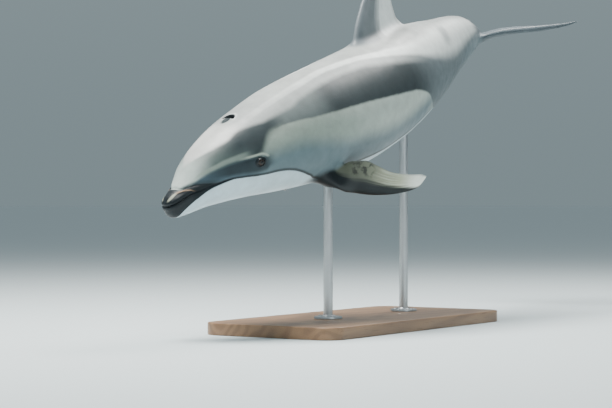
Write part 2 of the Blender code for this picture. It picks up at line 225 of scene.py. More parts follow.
# the animal's build: backbone and sections, in percent of its length
build = {
    "length": 2.10,            # metres
    "anchorStation": 42.0,     # stands over the origin, at the anchor's height
    "anchorHeight": 0.68,
    # station, degrees
    "turn": ((10, -20.0), (30, -2.0), (50, 1.0), (70, 9.0), (92, 16.0)),
    "rise": ((10, 22.6), (30, 17.0), (50, 19.8), (70, 18.4), (88, 9.0), (98, 8.5)),
    "roll": ((30, -2.7), (90, 4.5)),
    # station, top, bottom, half width, squareness
    "sections": (
        (-0.2, 0.16, -2.20, 1.05, 2.2), (0.35, 0.38, -2.42, 1.28, 2.2), (1.0, 0.68, -2.60, 1.60, 2.2),
        (2.2, 1.12, -2.72, 2.15, 2.2), (3.2, 1.80, -2.76, 2.65, 2.2), (5.0, 3.42, -2.86, 3.50, 2.15),
        (8.0, 4.98, -3.32, 4.58, 2.15), (12.0, 6.38, -4.12, 5.45, 2.15), (16.0, 7.25, -5.05, 6.10, 2.1),
        (22.0, 8.22, -6.15, 6.90, 2.05), (30.0, 8.66, -7.15, 7.50, 2.0), (38.0, 8.80, -7.50, 7.65, 2.0),
        (46.0, 8.72, -7.30, 7.35, 2.0), (54.0, 8.45, -6.80, 6.55, 1.95), (62.0, 7.40, -5.95, 5.45, 1.9),
        (70.0, 5.95, -4.85, 4.20, 1.85), (78.0, 4.75, -4.00, 3.15, 1.8), (86.0, 3.60, -2.95, 2.20, 1.75),
        (92.0, 2.25, -1.80, 1.45, 1.75), (96.0, 1.15, -1.05, 0.90, 1.9), (98.0, 0.48, -0.48, 0.45, 2.0),
        (99.4, 0.10, -0.10, 0.12, 2.0),
    ),
    "widest": 0.49,            # where a section is widest, as a share of its height
    "mouth": ((-0.3, -0.70), (1.5, -0.35), (3.3, 0.10), (5.8, 0.25), (9.0, 0.18)),
    "noseTip": -0.05,
    "noseDepth": 0.75,
    "noseBlunt": 2.2,
    "noseHeight": -1.25,
    "underbite": 0.05,
}
percent = build["length"] / 100.0
firstStation = build["noseTip"] + build["noseDepth"]   # of row 0 of the shell


def curve(table, x):
    xs = np.array([row[0] for row in table], float)
    ys = np.array([row[1] for row in table], float)
    steps = np.diff(xs)
    slopes = np.diff(ys) / steps
    tangents = np.zeros(len(xs))
    for i in range(1, len(xs) - 1):
        if slopes[i - 1] * slopes[i] > 0:
            a = 2 * steps[i] + steps[i - 1]
            b = steps[i] + 2 * steps[i - 1]
            tangents[i] = (a + b) / (a / slopes[i - 1] + b / slopes[i])
    tangents[0], tangents[-1] = slopes[0], slopes[-1]
    x = np.clip(np.asarray(x, float), xs[0], xs[-1])
    i = np.clip(np.searchsorted(xs, x, side="right") - 1, 0, len(xs) - 2)
    t = (x - xs[i]) / steps[i]
    return ((1 + 2 * t) * (1 - t) ** 2 * ys[i] + t * (1 - t) ** 2 * steps[i] * tangents[i]
            + t * t * (3 - 2 * t) * ys[i + 1] + t * t * (t - 1) * steps[i] * tangents[i + 1])


def ease(x, low, high):
    t = np.clip((np.asarray(x, float) - low) / (high - low), 0.0, 1.0)
    return t * t * (3 - 2 * t)


def bell(x, width):
    return np.exp(-(np.asarray(x, float) / width) ** 2)


def signedPower(x, power):
    return np.sign(x) * np.abs(x) ** power


def unit(vectors):
    return vectors / np.maximum(np.linalg.norm(vectors, axis=-1, keepdims=True), 1e-12)


def treeOf(points):
    tree = KDTree(len(points))
    for i, p in enumerate(points):
        tree.insert(p, i)
    tree.balance()
    return tree


def axesAt(stations):
    # unit vectors towards the tail, the animal's left and its back
    stations = np.asarray(stations, float)
    turn, rise, roll = (np.radians(curve(build[k], stations)) for k in ("turn", "rise", "roll"))
    back = np.stack([-np.sin(turn) * np.cos(rise), np.cos(turn) * np.cos(rise), np.sin(rise)], -1)
    left = np.stack([np.cos(turn), np.sin(turn), np.zeros_like(turn)], -1)
    up = np.cross(left, back)
    c, s = np.cos(roll)[..., None], np.sin(roll)[..., None]
    return back, left * c + up * s, up * c - left * s


spineSteps = np.linspace(-4.0, 104.0, 433)
stepAxes = axesAt((spineSteps[1:] + spineSteps[:-1]) / 2)[0]
spine = np.zeros((len(spineSteps), 3))
spine[1:] = np.cumsum(stepAxes * np.diff(spineSteps)[:, None] * percent, 0)
spine -= [np.interp(build["anchorStation"], spineSteps, spine[:, k]) for k in range(3)]
spine[:, 2] += build["anchorHeight"]


def spineAt(stations):
    return np.stack([np.interp(stations, spineSteps, spine[:, k]) for k in range(3)], -1)


def sectionSizes(stations):
    top, bottom, half, square = (
        curve([(row[0], row[k]) for row in build["sections"]], stations) for k in (1, 2, 3, 4))
    return top * percent, bottom * percent, half * percent, square


def sectionAt(stations, angles):
    # side and height on the section's outline, angles counted from the top
    top, bottom, half, square = sectionSizes(stations)
    middle = bottom + (top - bottom) * build["widest"]
    sine, cosine = np.sin(angles), np.cos(angles)
    power = 2.0 / square
    side = signedPower(sine, power) * half
    lift = signedPower(cosine, power)
    return side, middle + np.where(lift > 0, lift * (top - middle), lift * (middle - bottom))


def bodyPoint(stations, side, height):
    left, up = axesAt(stations)[1:]
    return spineAt(stations) + left * np.asarray(side)[..., None] + up * np.asarray(height)[..., None]


def skinAt(rows, angles):
    # rows below 0 close the nose, rows above the last station close the tail
    closing = np.clip(rows, -1.0, 0.0) + 1.0
    reach = np.cos(closing * math.pi / 2)
    blunt = build["noseBlunt"]
    share = (1.0 - np.clip(reach, 0, 1) ** blunt) ** (1.0 / blunt)
    stations = build["noseTip"] + build["noseDepth"] * (1.0 - reach) + np.maximum(rows, 0.0)
    side, height = sectionAt(stations, angles)
    mouth = curve(build["mouth"], stations) * percent
    nose = build["noseHeight"] * percent
    side = side * share
    height = nose + (height - nose) * share
    # the lower jaw reaches a little further forward
    bite = ease((mouth - height) / percent, 0.0, 0.7) * (1 - ease(stations, 1.5, 5.0))
    return bodyPoint(stations + bite * build["underbite"], side, height)


def bodyCoordinates(points):
    # station, side and height of any points near the body
    tree = treeOf(spine)
    stations = np.array([spineSteps[tree.find(p)[1]] for p in points])
    for _ in range(4):
        ahead = np.sum((points - spineAt(stations)) * axesAt(stations)[0], -1)
        stations = np.clip(stations + ahead / percent * 0.9, -1.5, 103.0)
    left, up = axesAt(stations)[1:]
    gap = points - spineAt(stations)
    return stations, np.sum(gap * left, -1), np.sum(gap * up, -1)


def roundAngle(stations, side, height):
    # signed angle from the top of the section, and how far out: 1 on its outline, more on the fins
    top, bottom, half, square = sectionSizes(stations)
    middle = bottom + (top - bottom) * build["widest"]
    u = side / half
    w = (height - middle) / np.where(height > middle, top - middle, middle - bottom)
    angle = np.arctan2(signedPower(u, square / 2), signedPower(w, square / 2))
    outward = (np.abs(u) ** square + np.abs(w) ** square) ** (1 / square)
    return angle, outward


# the body shell, finer where the face has detail
shell = {
    "columns": 144,
    "noseRows": 15,
    "headStep": 0.14,      # percent of the length between rows
    "trunkStep": 0.42,
    "stepChange": (14.0, 27.0),
    "lastRow": 98.65,
    "fineMouth": (0.013, 0.006), "fineEye": 0.046, "fineBlowhole": 0.026,   # metres round each
    "fineCrease": 0.45,                                                     # percent of the length
    "cheekRadius": 0.115, "crownRadius": 0.12,   # of the body there, roughly
    "eyeStation": 12.6,
    "eyeAngle": 92.0,      # degrees round from the top
    "eyeRadius": 0.015,
    "eyeShows": 0.0062,    # how far the eyeball stands out of the skin
    # closed rings of the mesh round the eye, as shares of the opening and then out to the reach
    "ringReach": 0.024, "ringPoints": 84,
    "ringShares": (0.35, 0.62, 0.78, 0.86, 0.90, 0.93, 0.955, 0.975, 0.99, 1.005, 1.03, 1.07, 1.12, 1.18,
                   1.25, 1.33, 1.42, 1.52, 1.63, 1.75, 1.87, 2.0),
    "blowholeStation": 13.9,
    "blowholeRadius": 0.023,
}

# depths and distances in metres, stations in percent of the length
relief = {
    "headEnd": 26,
    # the mouth line, its lips and its corners
    "groove": 0.0034, "grooveWidth": 0.0021,
    "lip": 0.0017, "lipWidth": 0.0055, "lipOffset": 0.0078,
    "cornerStation": 8.4, "cornerEnd": (0.012, -0.004), "corner": 0.0012, "cornerWidth": 0.0028,
    # the furrow between beak and melon (degrees, station), with its rims (height, offset, width)
    "creaseLine": ((0, 2.15), (20, 2.18), (35, 2.45), (46, 3.0), (58, 3.6), (77, 4.6), (92, 6.0)),
    "crease": 0.0034, "creaseWidth": 0.0045,
    "beakRim": (0.0009, -0.010, 0.007), "melonRim": (0.0003, 0.012, 0.009),
    # eyelids: the opening's half length and half height, 2 for an ellipse and less for sharper corners
    "aperture": (0.0128, 0.0090), "almond": 1.75,
    "lid": 0.0013, "lidSoft": 0.0012, "lidRim": 0.0007, "pit": 0.0075,
    "fold": 0.0011, "underFold": 0.0006, "tuck": 0.0012, "tuckLine": ((0.016, 0.021), (0.029, 0.008)),
    # the brow: reach in front of the eye and behind it, height, bend, ridge and the valley under it
    "browFront": 0.20, "browRear": 0.0295, "browHigh": 0.0218, "browBend": 0.10,
    "brow": 0.0022, "browValley": 0.0011,
    "ear": 0.0013, "earPlace": (0.062, -0.004), "earWidth": 0.0018,
    # the blowhole: a curved slot, its lip, the ring round it and the bowl
    "slot": 0.0100, "slotWidth": 0.0040, "slotTurn": 1.08, "slotLip": (0.0007, 0.0095, 0.0045),
    "slotRing": (0.0010, 0.034, 0.007), "bowl": 0.0062, "bowlWidth": 0.0125,
    # navel and slit of the belly, as lines on its middle: distance from the nose
    "navel": 0.0022, "navelWidth": 0.0045, "navelLine": ((0.905, 0), (0.925, 0)),
    "slit": 0.0034, "slitWidth": 0.0032, "slitLine": ((1.30, 0), (1.385, 0)),
    "slitRim": (0.0012, 0.009, 0.006),
    # folds of the bent neck: (station, depth)
    "neckFolds": ((18.2, 0.0011), (20.3, 0.0014), (22.6, 0.0009)), "neckFoldWidth": 0.006,
    "keel": 0.0022,
}


def outwardAt(station, degrees):
    # a point of the skin and the direction straight out of it
    angle = math.radians(degrees)
    step = 0.02
    sides, heights = sectionAt(station, np.array([angle - step, angle, angle + step]))
    here = bodyPoint(station, sides[1], heights[1])
    ring = bodyPoint(station, sides[2], heights[2]) - bodyPoint(station, sides[0], heights[0])
    ahead = [float(v) for v in sectionAt(station - 0.5, angle)]
    behind = [float(v) for v in sectionAt(station + 0.5, angle)]
    course = bodyPoint(station + 0.5, *behind) - bodyPoint(station - 0.5, *ahead)
    out = unit(np.cross(course, ring))
    return here, out if np.dot(out, here - spineAt(station)) > 0 else -out


def eyePlaces():
    # middle, outward, tailward and upward of each eye
    places = {}
    for name, sign in (("left", 1), ("right", -1)):
        here, out = outwardAt(shell["eyeStation"], sign * shell["eyeAngle"])
        back, _, up = axesAt(shell["eyeStation"])
        back = unit(back - out * np.dot(back, out))
        rise = unit(up - out * np.dot(up, out) - back * np.dot(up, back))
        places[name] = (here, out, back, rise)
    return places


def shellRows():
    rows = list(np.linspace(-1.0, 0.0, shell["noseRows"])[:-1])
    at = 0.0
    while at < shell["lastRow"] - 0.05:
        rows.append(at)
        coarse = float(ease(at, *shell["stepChange"]))
        at += shell["headStep"] + (shell["trunkStep"] - shell["headStep"]) * coarse
    return np.array(rows + [shell["lastRow"]])


def bodyShell():
    # a flat plan of rows and angles is refined first, then wrapped onto the body
    rows = shellRows()
    angles = np.linspace(-math.pi, math.pi, shell["columns"] + 1)
    plan = bmesh.new()
    grid = [[plan.verts.new((r, a, 0.0)) for a in angles] for r in rows]
    for i in range(len(rows) - 1):
        for k in range(len(angles) - 1):
            plan.faces.new((grid[i][k], grid[i][k + 1], grid[i + 1][k + 1], grid[i + 1][k]))

    def refine(wanted):
        centres = np.array([f.calc_center_median()[:2] for f in plan.faces])
        chosen = wanted(centres[:, 0], centres[:, 1])
        edges = {e for f, c in zip(plan.faces, chosen) if c for e in f.edges}
        bmesh.ops.subdivide_edges(plan, edges=list(edges), cuts=1, use_grid_fill=True)

    def nearMouth(reach):
        def wanted(r, a):
            stations = np.maximum(r, 0) + firstStation
            height = sectionAt(stations, a)[1]
            gap = np.abs(height - curve(build["mouth"], stations) * percent)
            return ((gap < reach) & (r < 8.6)) | (r < -0.35)
        return wanted

    def nearEye(reach):
        def wanted(r, a):
            along = (r + firstStation - shell["eyeStation"]) * percent
            around = (np.abs(a) - math.radians(shell["eyeAngle"])) * shell["cheekRadius"]
            return np.hypot(along + 0.004, around + 0.004) < reach
        return wanted

    def nearCrease(r, a):
        crease = curve(relief["creaseLine"], np.degrees(np.abs(a)))
        return (np.abs(r + firstStation - crease) < shell["fineCrease"]) & (np.abs(a) < 1.5)

    def nearBlowhole(r, a):
        along = (r + firstStation - shell["blowholeStation"] + 0.25) * percent
        return np.hypot(along, a * shell["crownRadius"]) < shell["fineBlowhole"]

    areas = [nearMouth(reach) for reach in shell["fineMouth"]] + [nearEye(shell["fineEye"])]
    for wanted in areas + [nearCrease, nearBlowhole, nearBlowhole]:
        refine(wanted)
    for sign in (1, -1):
        setEyeRings(plan, sign)
    flat = np.array([v.co for v in plan.verts])
    solid = skinAt(flat[:, 0], flat[:, 1])
    nose = [v for v in plan.verts if v.co.x < 0.3]
    for v, p in zip(plan.verts, solid):
        v.co = p
    bmesh.ops.remove_doubles(plan, verts=plan.verts, dist=1e-5)
    nose = [v for v in nose if v.is_valid]
    for _ in range(14):
        bmesh.ops.smooth_vert(plan, verts=nose, factor=0.5, use_axis_x=True, use_axis_y=True,
                              use_axis_z=True)
    closeEnds(plan)
    bmesh.ops.recalc_face_normals(plan, faces=plan.faces)
    return plan


def closeEnds(plan):
    rims = [e for e in plan.edges if e.is_boundary]
    if rims:
        filled = bmesh.ops.contextual_create(plan, geom=rims)
        bmesh.ops.triangulate(plan, faces=filled["faces"])


def setEyeRings(plan, sign):
    # closed rings that follow the eyelids take the place of the square mesh there
    back, rise = eyePlaces()["left" if sign > 0 else "right"][2:]
    row = shell["eyeStation"] - build["noseTip"] - build["noseDepth"]
    angle = sign * math.radians(shell["eyeAngle"])
    nudge = 0.01
    around = skinAt(np.array([row + nudge, row - nudge, row, row]),
                    np.array([angle, angle, angle + nudge, angle - nudge]))
    slopes = np.array([around[0] - around[1], around[2] - around[3]]) / (2 * nudge)
    toPlan = np.linalg.inv(np.array([slopes @ back, slopes @ rise]))
    fromPlan = np.linalg.inv(toPlan)

    def gapOf(co):
        return np.linalg.norm(fromPlan @ np.array([co[0] - row, co[1] - angle]))

    reach = shell["ringReach"]
    covered = [f for f in plan.faces if gapOf(f.calc_center_median()) < reach + 0.0022]
    bmesh.ops.delete(plan, geom=covered, context="FACES")
    hole = [e for e in plan.edges if e.is_boundary and all(gapOf(v.co) < reach + 0.008 for v in e.verts)]
    half, high = relief["aperture"]
    turns = np.linspace(0, 2 * math.pi, shell["ringPoints"], endpoint=False)
    power = 2.0 / relief["almond"]
    ringX, ringY = signedPower(np.cos(turns), power), signedPower(np.sin(turns), power)
    centre = plan.verts.new((row, angle, 0.0))
    last = None
    for share in shell["ringShares"]:
        if share <= 1.0:
            x, y = half * share * ringX, high * share * ringY
        else:
            u = share - 1.0
            x = half * ringX * (1 - u) + reach * u * np.cos(turns)
            y = high * ringY * (1 - u) + reach * u * np.sin(turns)
        spots = toPlan @ np.array([x, y])
        ring = [plan.verts.new((row + r, angle + a, 0.0)) for r, a in spots.T]
        for k in range(len(ring)):
            m = (k + 1) % len(ring)
            corners = (centre, ring[k], ring[m]) if last is None else (last[k], ring[k], ring[m], last[m])
            plan.faces.new(corners)
        last = ring
    rim = [plan.edges.get((last[k], last[(k + 1) % len(last)])) for k in range(len(last))]
    bmesh.ops.triangle_fill(plan, edges=hole + rim, use_beauty=True)


# fins, as foils drawn out along their span
# lead and trail: share of the span, then percent along the chord (stations for the fluke);
# zone: the stations between which the skin can belong to the fin
dorsal = {
    "station": 43.0, "height": 10.6, "foot": 7.0, "zone": (38, 68),
    "start": -0.16, "rings": 46, "points": 26,
    "lead": ((-0.2, -1.0), (0.0, 0.0), (0.24, 1.5), (0.40, 3.0), (0.56, 4.9), (0.75, 7.9), (0.90, 11.6),
             (1.0, 16.0)),
    "trail": ((-0.2, 14.6), (0.0, 13.9), (0.18, 13.3), (0.35, 13.0), (0.50, 13.0), (0.70, 13.7), (0.88, 15.3),
              (1.0, 17.0)),
    "thick": ((0.0, 1.90), (0.5, 1.20), (0.85, 0.65), (1.0, 0.30)),
    "flare": 1.3, "flareSpan": 0.11,
}
flipper = {
    "station": 24.9, "angle": 143.0, "span": 14.3, "zone": (18, 46),
    "start": -0.14, "rings": 48, "points": 24,
    # towards the tip, and from front to rear at the tip and at the root: tailward, outward, upward
    "reach": (10.0, 9.0, -2.95), "chord": (-0.5, 2.0, 5.0), "rootChord": (3.4, 0.4, 1.0), "twistSpan": 0.34,
    "lead": ((-0.14, -1.2), (0.0, -1.9), (0.12, -2.1), (0.24, -2.65), (0.37, -3.1), (0.50, -3.25),
             (0.64, -3.15), (0.75, -2.9), (0.84, -2.55), (0.94, -1.8), (1.0, -0.6)),
    "trail": ((0.0, 1.3), (0.12, 1.4), (0.24, 2.1), (0.36, 2.4), (0.49, 1.6), (0.64, 0.6), (0.75, 0.3),
              (0.84, 0.25), (0.94, 0.3), (1.0, 0.15)),
    "thick": ((0.0, 1.35), (0.3, 1.05), (0.7, 0.65), (1.0, 0.28)),
    "flare": 0.8, "flareSpan": 0.13, "frontFlare": 0.0, "sink": 0.030, "tipShare": 0.85,
}
fluke = {
    "station": 94.0, "span": 16.55, "zone": (83, 104), "rings": 40, "points": 24,
    "lead": ((0.0, 86.5), (0.08, 87.6), (0.16, 90.0), (0.30, 92.3), (0.50, 94.9), (0.70, 97.3), (0.88, 99.6),
             (1.0, 101.4)),
    "trail": ((0.0, 99.3), (0.10, 99.9), (0.30, 99.7), (0.50, 99.4), (0.75, 99.9), (0.90, 100.9),
              (1.0, 102.0)),
    "thick": ((0.0, 1.55), (0.15, 1.35), (0.5, 1.10), (0.75, 0.80), (0.9, 0.50), (1.0, 0.30)),
    # how the blades bow
    "lift": ((0.0, -0.45), (0.08, -0.38), (0.17, 0.02), (0.31, 0.26), (0.45, 0.20), (0.60, 0.06),
             (0.75, 0.02), (0.88, 0.08), (1.0, 0.33)),
}
faceStep = 0.004   # metres off a fin's middle at which a point counts as wholly on one face


def foil(count):
    # half round in front and thin behind, but never quite sharp
    along = 0.5 - 0.5 * np.cos(np.linspace(0, math.pi, count))
    thick = 1.1 * (2.9690 * np.sqrt(along) - 1.2600 * along - 3.5160 * along ** 2
                   + 2.8430 * along ** 3 - 1.0150 * along ** 4)
    return along, np.maximum(thick, 0.05 * np.sqrt(np.clip((1 - along) * 40, 0, 1)) + 0.02)


def foilRing(front, rear, normal, thickness, count):
    along, thick = foil(count)
    line = front + np.outer(along, rear - front)
    rise = np.outer(thick, normal) * thickness / 2
    return np.concatenate([line + rise, (line - rise)[::-1]])


def tipRound(share, start=0.93):
    # how much of the chord is left in the rounded tip
    return math.sqrt(max(0.0, 1.0 - (max(0.0, abs(share) - start) / (1.0 - start)) ** 2))


def drawOut(rings):
    made = bmesh.new()
    verts = [[made.verts.new(p) for p in ring] for ring in rings]
    count = len(rings[0])
    for r in range(len(rings) - 1):
        for k in range(count):
            m = (k + 1) % count
            made.faces.new((verts[r][k], verts[r][m], verts[r + 1][m], verts[r + 1][k]))
    for end in (verts[0], verts[-1]):
        made.faces.new(end)
    bmesh.ops.triangulate(made, faces=[f for f in made.faces if len(f.verts) > 4])
    bmesh.ops.recalc_face_normals(made, faces=made.faces)
    return made


def spanShares(start, count):
    # even steps, closer together at the tip
    t = np.linspace(0.0, 1.0, count)
    return start + (1.0 - start) * (1 - (1 - t) ** 1.5) * 0.9995


def chordEnds(fin, share):
    # front and rear of the chord with its root flare and its rounded tip, in percent
    lead, trail = float(curve(fin["lead"], share)), float(curve(fin["trail"], share))
    tipShare = fin.get("tipShare", 0.55)
    middle, keep = lead * (1 - tipShare) + trail * tipShare, max(0.03, tipRound(share))
    flare = fin.get("flare", 0.0) * max(0.0, 1.0 - max(0.0, share) / fin.get("flareSpan", 1.0)) ** 2.2
    thick = float(curve(fin["thick"], share)) * max(0.12, tipRound(share, 0.9)) + 1.5 * flare
    frontFlare = flare * fin.get("frontFlare", 1.0)
    return middle + (lead - middle) * keep - frontFlare, middle + (trail - middle) * keep + flare, thick


def dorsalFin():
    foot = dorsal["station"] + dorsal["foot"]
    back, left, up = axesAt(foot)
    top = float(sectionSizes(foot)[0])
    rings = []
    for share in spanShares(dorsal["start"], dorsal["rings"]):
        lead, trail, thick = chordEnds(dorsal, share)
        level = spineAt(foot) + up * (top + share * dorsal["height"] * percent)
        front = level + back * (dorsal["station"] + lead - foot) * percent
        rear = level + back * (dorsal["station"] + trail - foot) * percent
        rings.append(foilRing(front, rear, left, thick * percent, dorsal["points"]))
    return drawOut(rings)


def flipperFrame(sign):
    station = flipper["station"]
    back, left, up = axesAt(station)
    side, height = sectionAt(station, math.radians(flipper["angle"]))
    root = bodyPoint(station, sign * float(side), float(height))

    def towards(vector):
        return unit(back * vector[0] + left * sign * vector[1] + up * vector[2])

    return root, towards(flipper["reach"]), towards(flipper["chord"]), towards(flipper["rootChord"])


def flipperChord(share, reach, far, near):
    twist = float(ease(share, 0.0, flipper["twistSpan"]))
    chord = near * (1 - twist) + far * twist
    return unit(chord - reach * np.dot(chord, reach))


def flipperFin(sign):
    root, reach, far, near = flipperFrame(sign)
    inward = unit(spineAt(flipper["station"] - 1.0) - root)
    rings = []
    for share in spanShares(flipper["start"], flipper["rings"]):
        lead, trail, thick = chordEnds(flipper, share)
        chord = flipperChord(share, reach, far, near)
        middle = root + reach * share * flipper["span"] * percent
        middle = middle + inward * flipper["sink"] * (max(0.0, 0.03 - share) / 0.17) ** 1.3
        rings.append(foilRing(middle + chord * lead * percent, middle + chord * trail * percent,
                              unit(np.cross(reach, chord)), thick * percent, flipper["points"]))
    return drawOut(rings)


def flukeFin():
    station = fluke["station"]
    back, left, up = axesAt(station)
    half = spanShares(0.0, fluke["rings"])
    rings = []
    for share in np.concatenate([-half[::-1], half[1:]]):
        lead, trail, thick = chordEnds(fluke, abs(share))
        base = spineAt(station) + left * share * fluke["span"] * percent
        base = base + up * float(curve(fluke["lift"], abs(share))) * percent
        front = base + back * (lead - station) * percent
        rear = base + back * (trail - station) * percent
        rings.append(foilRing(front, rear, up, thick * percent, fluke["points"]))
    return drawOut(rings)


def meshObject(name, made, materials=()):
    mesh = bpy.data.meshes.new(name)
    made.to_mesh(mesh)
    made.free()
    for material in materials:
        mesh.materials.append(material)
    thing = bpy.data.objects.new(name, mesh)
    bpy.context.scene.collection.objects.link(thing)
    return thing


def dropObject(thing):
    mesh = thing.data
    bpy.data.objects.remove(thing, do_unlink=True)
    bpy.data.meshes.remove(mesh)


def bakeModifiers(thing):
    baked = bpy.data.meshes.new_from_object(thing.evaluated_get(bpy.context.evaluated_depsgraph_get()))
    thing.modifiers.clear()
    old = thing.data
    thing.data = baked
    bpy.data.meshes.remove(old)


def joinFins(body, fins):
    # a true union, so that there is one shell and no seam
    for fin in fins:
        step = body.modifiers.new("join", "BOOLEAN")
        step.operation = "UNION"
        step.solver = "EXACT"
        step.material_mode = "INDEX"
        step.object = fin
    bakeModifiers(body)
    for fin in fins:
        dropObject(fin)


def coordinatesOf(mesh):
    co = np.empty(len(mesh.vertices) * 3)
    mesh.vertices.foreach_get("co", co)
    return co.reshape(-1, 3)


def seamOf(made):
    return [v for v in made.verts if len({f.material_index for f in v.link_faces}) > 1]


def softenRoots(body, reach=0.030, rounds=26):
    # fillets where the fins leave the body
    made = bmesh.new()
    made.from_mesh(body.data)
    short = {e for v in seamOf(made) for e in v.link_edges}
    bmesh.ops.dissolve_degenerate(made, dist=0.0004, edges=list(short))
    bmesh.ops.remove_doubles(made, verts=seamOf(made), dist=0.0016)
    bmesh.ops.holes_fill(made, edges=[e for e in made.edges if len(e.link_faces) == 1], sides=0)
    made.verts.ensure_lookup_table()
    seam = seamOf(made)
    tree = treeOf([v.co for v in seam])
    co = np.array([v.co for v in made.verts])
    weight = np.array([1.0 - float(ease(tree.find(v.co)[2], 0.0, reach)) for v in made.verts])
    ends = np.array([[e.verts[0].index, e.verts[1].index] for e in made.edges])
    near = (weight[ends[:, 0]] > 0) | (weight[ends[:, 1]] > 0)
    ends = ends[near]
    count = np.bincount(ends.ravel(), minlength=len(co)).astype(float)
    for _ in range(rounds):
        total = np.zeros_like(co)
        np.add.at(total, ends[:, 0], co[ends[:, 1]])
        np.add.at(total, ends[:, 1], co[ends[:, 0]])
        moved = weight > 0
        co[moved] += (total[moved] / count[moved, None] - co[moved]) * weight[moved, None] * 0.6
    for v, p in zip(made.verts, co):
        v.co = p
    for f in made.faces:
        f.material_index = 0
    bmesh.ops.triangulate(made, faces=[f for f in made.faces if len(f.verts) > 4])
    bmesh.ops.recalc_face_normals(made, faces=made.faces)
    made.to_mesh(body.data)
    made.free()


marker = [bpy.data.materials.new("bodySide"), bpy.data.materials.new("finSide")]
skin = meshObject("dolphinSkin", bodyShell(), marker)
finShells = {"dorsalFin": dorsalFin(), "leftFlipper": flipperFin(1), "rightFlipper": flipperFin(-1),
             "flukes": flukeFin()}
fins = [meshObject(name, made, marker) for name, made in finShells.items()]
for fin in fins:
    for face in fin.data.polygons:
        face.material_index = 1
print("shell", len(skin.data.polygons), "faces")
joinFins(skin, fins)
softenRoots(skin)
print("fins joined,", len(skin.data.polygons), "faces")


# relief of the face, the blowhole and the belly
def segmentGap(x, y, start, end):
    # distance from a short straight line
    dx, dy = end[0] - start[0], end[1] - start[1]
    t = np.clip(((x - start[0]) * dx + (y - start[1]) * dy) / (dx * dx + dy * dy), 0, 1)
    return np.hypot(x - start[0] - t * dx, y - start[1] - t * dy)


def rimOn(gap, rim):
    # a rounded ridge beside a line: height, offset from the line, width
    height, offset, width = rim
    return height * bell(gap - offset, width)


def browPlace(x, y):
    # 1 on the brow's line: straight in front of the eye, bent down behind it
    along = np.where(x < 0, x / relief["browFront"], x / relief["browRear"])
    return np.hypot(along, (y + relief["browBend"] * np.minimum(x, 0)) / relief["browHigh"])


def eyeRelief(x, y):
    # x towards the tail, y up, both in metres from the middle of the eye
    r, radius = np.hypot(x, y), shell["eyeRadius"]
    ball = np.sqrt(np.maximum(radius ** 2 - r ** 2, 0)) - (radius - shell["eyeShows"])
    ball = np.where(r < radius, ball, -(r - radius) * 1.2 - 0.0088)
    soft = relief["lidSoft"]
    lids = soft * np.log1p(np.exp(np.clip((ball + relief["lid"] + 0.001) / soft, -30, 30)))
    half, high = relief["aperture"]
    power = relief["almond"]
    opening = (np.abs(x / half) ** power + np.abs(y / high) ** power) ** (1 / power)   # 1 on the lids' edge
    onLid = ease(opening, 0.86, 1.0)
    rim = relief["lidRim"] * bell(opening - 1.12, 0.12) * (opening > 0.9)
    fold = relief["fold"] * bell(opening - 1.62, 0.13) * ease(y, -0.002, 0.004)
    under = relief["underFold"] * bell(opening - 1.75, 0.16) * ease(-y, 0.0, 0.006)
    brow = browPlace(x, y)
    above = ease(y, 0.003, 0.013) * ease(x, -0.062, -0.022)
    ridge = relief["brow"] * bell(brow - 1.0, 0.17) * above
    valley = relief["browValley"] * bell(brow - 0.74, 0.12) * above
    tuck = relief["tuck"] * bell(segmentGap(x, y, *relief["tuckLine"]), 0.0022)
    lids = np.where(opening < 1.0, lids * onLid - relief["pit"] * (1 - onLid), lids)
    earX, earY = relief["earPlace"]
    ear = relief["ear"] * bell(np.hypot(x - earX, y - earY), relief["earWidth"])
    return lids + rim - fold - under + ridge - valley - tuck - ear


def mouthRelief(station, height):
    gap = height - curve(build["mouth"], station) * percent
    groove = relief["groove"] * (1 - 0.55 * ease(station, 1.0, 6.0)) * bell(gap, relief["grooveWidth"])
    upper, lower = (bell(gap - side * relief["lipOffset"], relief["lipWidth"]) for side in (1, -1))
    lips = relief["lip"] * (1 - 0.75 * ease(station, 1.0, 7.5)) * (upper + 0.8 * lower)
    away = segmentGap((station - relief["cornerStation"]) * percent, gap, (0, 0), relief["cornerEnd"])
    corner = relief["corner"] * bell(away, relief["cornerWidth"])
    return (lips - groove) * (1 - ease(station, 7.2, 8.9)) - corner


def creaseRelief(station, degrees):
    away = (station - curve(relief["creaseLine"], degrees)) * percent
    sides = (1 - ease(degrees, 62, 92)) * (station < 8)
    rims = (1 - ease(degrees, 38, 60)) * rimOn(away, relief["beakRim"]) + rimOn(away, relief["melonRim"])
    return sides * (rims - relief["crease"] * bell(away, relief["creaseWidth"]))


def blowholeRelief(co, head):
    # also the distance from the slot and the extent of the bowl's painted shade, for the paint
    crown, out = outwardAt(shell["blowholeStation"], 0.0)
    back, left, _ = axesAt(shell["blowholeStation"])
    back = unit(back - out * np.dot(back, out))
    radius = shell["blowholeRadius"]
    offset = co - (crown - back * radius)
    x, y = offset @ back, offset @ left
    near = (np.sum(offset * out, -1) > -0.05) & (np.hypot(x, y) < 0.06) & head
    bearing = np.clip(np.arctan2(y, x), -relief["slotTurn"], relief["slotTurn"])
    gap = np.hypot(x - radius * np.cos(bearing), y - radius * np.sin(bearing))
    gap = gap / (0.45 + 0.55 * np.cos(bearing * 1.2))      # the slot tapers to its ends
    push = near * (rimOn(gap, relief["slotLip"]) - rimOn(np.hypot(x - 0.004, y), relief["slotRing"])
                   - relief["slot"] * bell(gap, relief["slotWidth"])
                   - relief["bowl"] * bell(np.hypot((x - 0.003) / 1.6, y), relief["bowlWidth"]))
    bowlShade = near * (1 - ease(np.hypot((x - 0.004) / 1.35, y), 0.0115, 0.0180))
    return push, np.where(near, gap, 1.0), bowlShade


